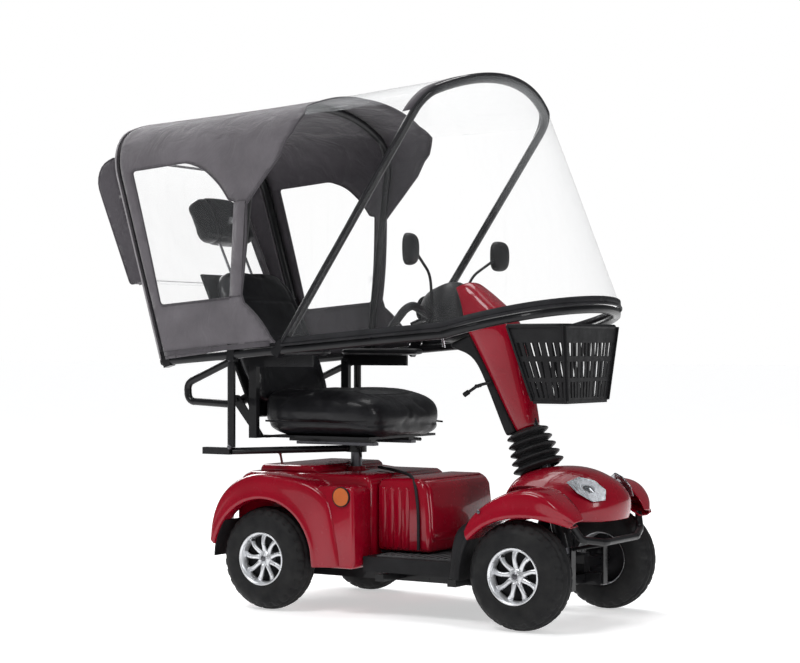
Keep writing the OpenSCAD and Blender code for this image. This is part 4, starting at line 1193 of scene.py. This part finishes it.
tube("tilt_lever_root", [on_tiller(-66, -47, 262), on_tiller(-92, -56, 266), on_tiller(-118, -58, 268)], 0.0052,
     "tilt_handle", "black_plastic", 0.01)
for side, sign in (("right", -1), ("left", 1)):
    # ribbed grips over the rear of each hand loop
    grip = []
    a, b = np.array((-251, sign * 246, 500)), np.array((-262, sign * 156, 500))
    for t in np.linspace(0.02, 1, 60):
        r = 15.6 + (0.9 if (int(t * 60) % 3) else 0)
        p = a + (b - a) * t
        grip.append([on_tiller(p[0] + r * cos(q), p[1], p[2] + r * sin(q)) for q in np.linspace(0, 2 * pi, 24, endpoint=False)])
    grip = loft(f"hand_grip_{side}", grip)
    finish_piece(grip, "tiller", "bellows_rubber")

    # mirror: a domed housing, its glass facing the rider, and a bent stem
    tip = on_tiller(-56, sign * 283, 700)
    turn = Matrix.Rotation(radians(-8 * sign), 3, "Z")
    rings = []
    for depth, scale in ((-12, 0.93), (-11, 1.0), (-4, 1.0), (6, 0.95), (14, 0.80), (19, 0.5), (20.5, 0.15)):
        rings.append([tip + turn @ Vector((depth, y, z)) / 1000 for y, z in rounded_ring(0, 0, 43 * scale, 50 * scale, 40, 3.0)])
    housing = loft(f"mirror_housing_{side}", rings)
    add_modifier(housing, "SUBSURF", levels=1, render_levels=1)
    finish_piece(housing, f"mirror_{side[0]}", "black_plastic", stands_for=[f"mirror_{side}"])
    glass = loft(f"mirror_glass_{side}", [[tip + turn @ Vector((-12.4 - d, y, z)) / 1000 for y, z in
                                           rounded_ring(0, 0, 39 * s, 46 * s, 40, 3.0)] for d, s in ((0, 1), (0.4, 0.98), (0.8, 0.5))])
    finish_piece(glass, f"mirror_{side[0]}", "mirror_glass")
    tube(f"mirror_stem_{side}", [on_tiller(-150, sign * 97, 560), on_tiller(-104, sign * 128, 640),
                                 on_tiller(-60, sign * 250, 690), tip + Vector((0.004, -0.012 * sign, -0.01))], 0.0045,
         f"mirror_{side[0]}", "black_plastic", 0.04)

# ------------------------------------------------------------------ basket


def bar(a, b, wide, thick, out):
    """A flat strip between two points; out is the way its broad side faces."""
    a, b, out = Vector(a), Vector(b), Vector(out).normalized()
    side = (b - a).cross(out).normalized() * wide / 2
    deep = out * thick / 2
    rings = [[p + s * side + d * deep for s, d in ((-1, -1), (1, -1), (1, 1), (-1, 1))] for p in (a, b)]
    return loft("bar", rings)


low = {(-1, -1): (870, -138, 676), (1, -1): (983, -138, 676), (1, 1): (983, 138, 676), (-1, 1): (870, 138, 676)}
high = {(-1, -1): (808, -182, 902), (1, -1): (996, -182, 902), (1, 1): (996, 182, 902), (-1, 1): (808, 182, 902)}
ring_order = [(-1, -1), (1, -1), (1, 1), (-1, 1)]
strips = []
for i, a in enumerate(ring_order):
    b = ring_order[(i + 1) % 4]
    la, lb, ha, hb = (Vector(v) for v in (low[a], low[b], high[a], high[b]))
    out = (lb - la).cross(ha - la).normalized()
    span = (hb - ha).length
    count = max(6, int(span / 26))
    for j in range(count + 1):
        t = j / count
        broad = 0.018 if j in (0, count) or j % 4 == 0 else 0.011
        strips.append(bar(at(*la.lerp(lb, t)), at(*ha.lerp(hb, t)), broad, 0.003, out))
    for t, broad in ((0.0, 0.018), (0.28, 0.012), (0.56, 0.016), (0.88, 0.046)):
        strips.append(bar(at(*la.lerp(ha, t)), at(*lb.lerp(hb, t)), broad, 0.0034, out))
for j in range(15):
    t = j / 14
    strips.append(bar(at(870, -138 + 276 * t, 676), at(983, -138 + 276 * t, 676), 0.005, 0.003, (0, 0, 1)))
for j in range(6):
    t = j / 5
    strips.append(bar(at(870 + 113 * t, -138, 676), at(870 + 113 * t, 138, 676), 0.005, 0.003, (0, 0, 1)))
basket = joined("basket_lattice", strips)
finish_piece(basket, "tiller", "black_plastic", stands_for=["basket"], smooth=False)
rim_line = [at(*high[k]) for k in ring_order]
tube("basket_rim", rounded_path(rim_line + [rim_line[0]], 0.03), 0.0075, "tiller", "black_plastic")

# ------------------------------------------------------------------ small details on kept CAD pieces

frame["nodes"]["floor_mat"].data.materials[0] = MAT["floor_rubber"]
for node_name in ("floor_pan", "post_collar", "transaxle", "controller", "batteries", "seat_pan", "backrest_shell"):
    bevelled(frame["nodes"][node_name], 0.003, 2)
for side, sign in (("right", -1), ("left", 1)):
    for i, (x, z) in enumerate(((-95, 520), (-95, 800))):
        bolt = revolve(f"mount_bolt_{side}_{i}", [(0, 389), (4, 388.6), (7, 386), (8, 382), (8, 380)], 20,
                       lambda rx, rz, y, x=x, z=z, sign=sign: at(x + rx, sign * y, z + rz))
        finish_piece(bolt, "body", "dark_steel")

# ------------------------------------------------------------------ floor

ground = mesh_object("ground", [(-90, -90, 0), (90, -90, 0), (90, 90, 0), (-90, 90, 0)], [(0, 1, 2, 3)])
ground.data.materials.append(MAT["floor"])
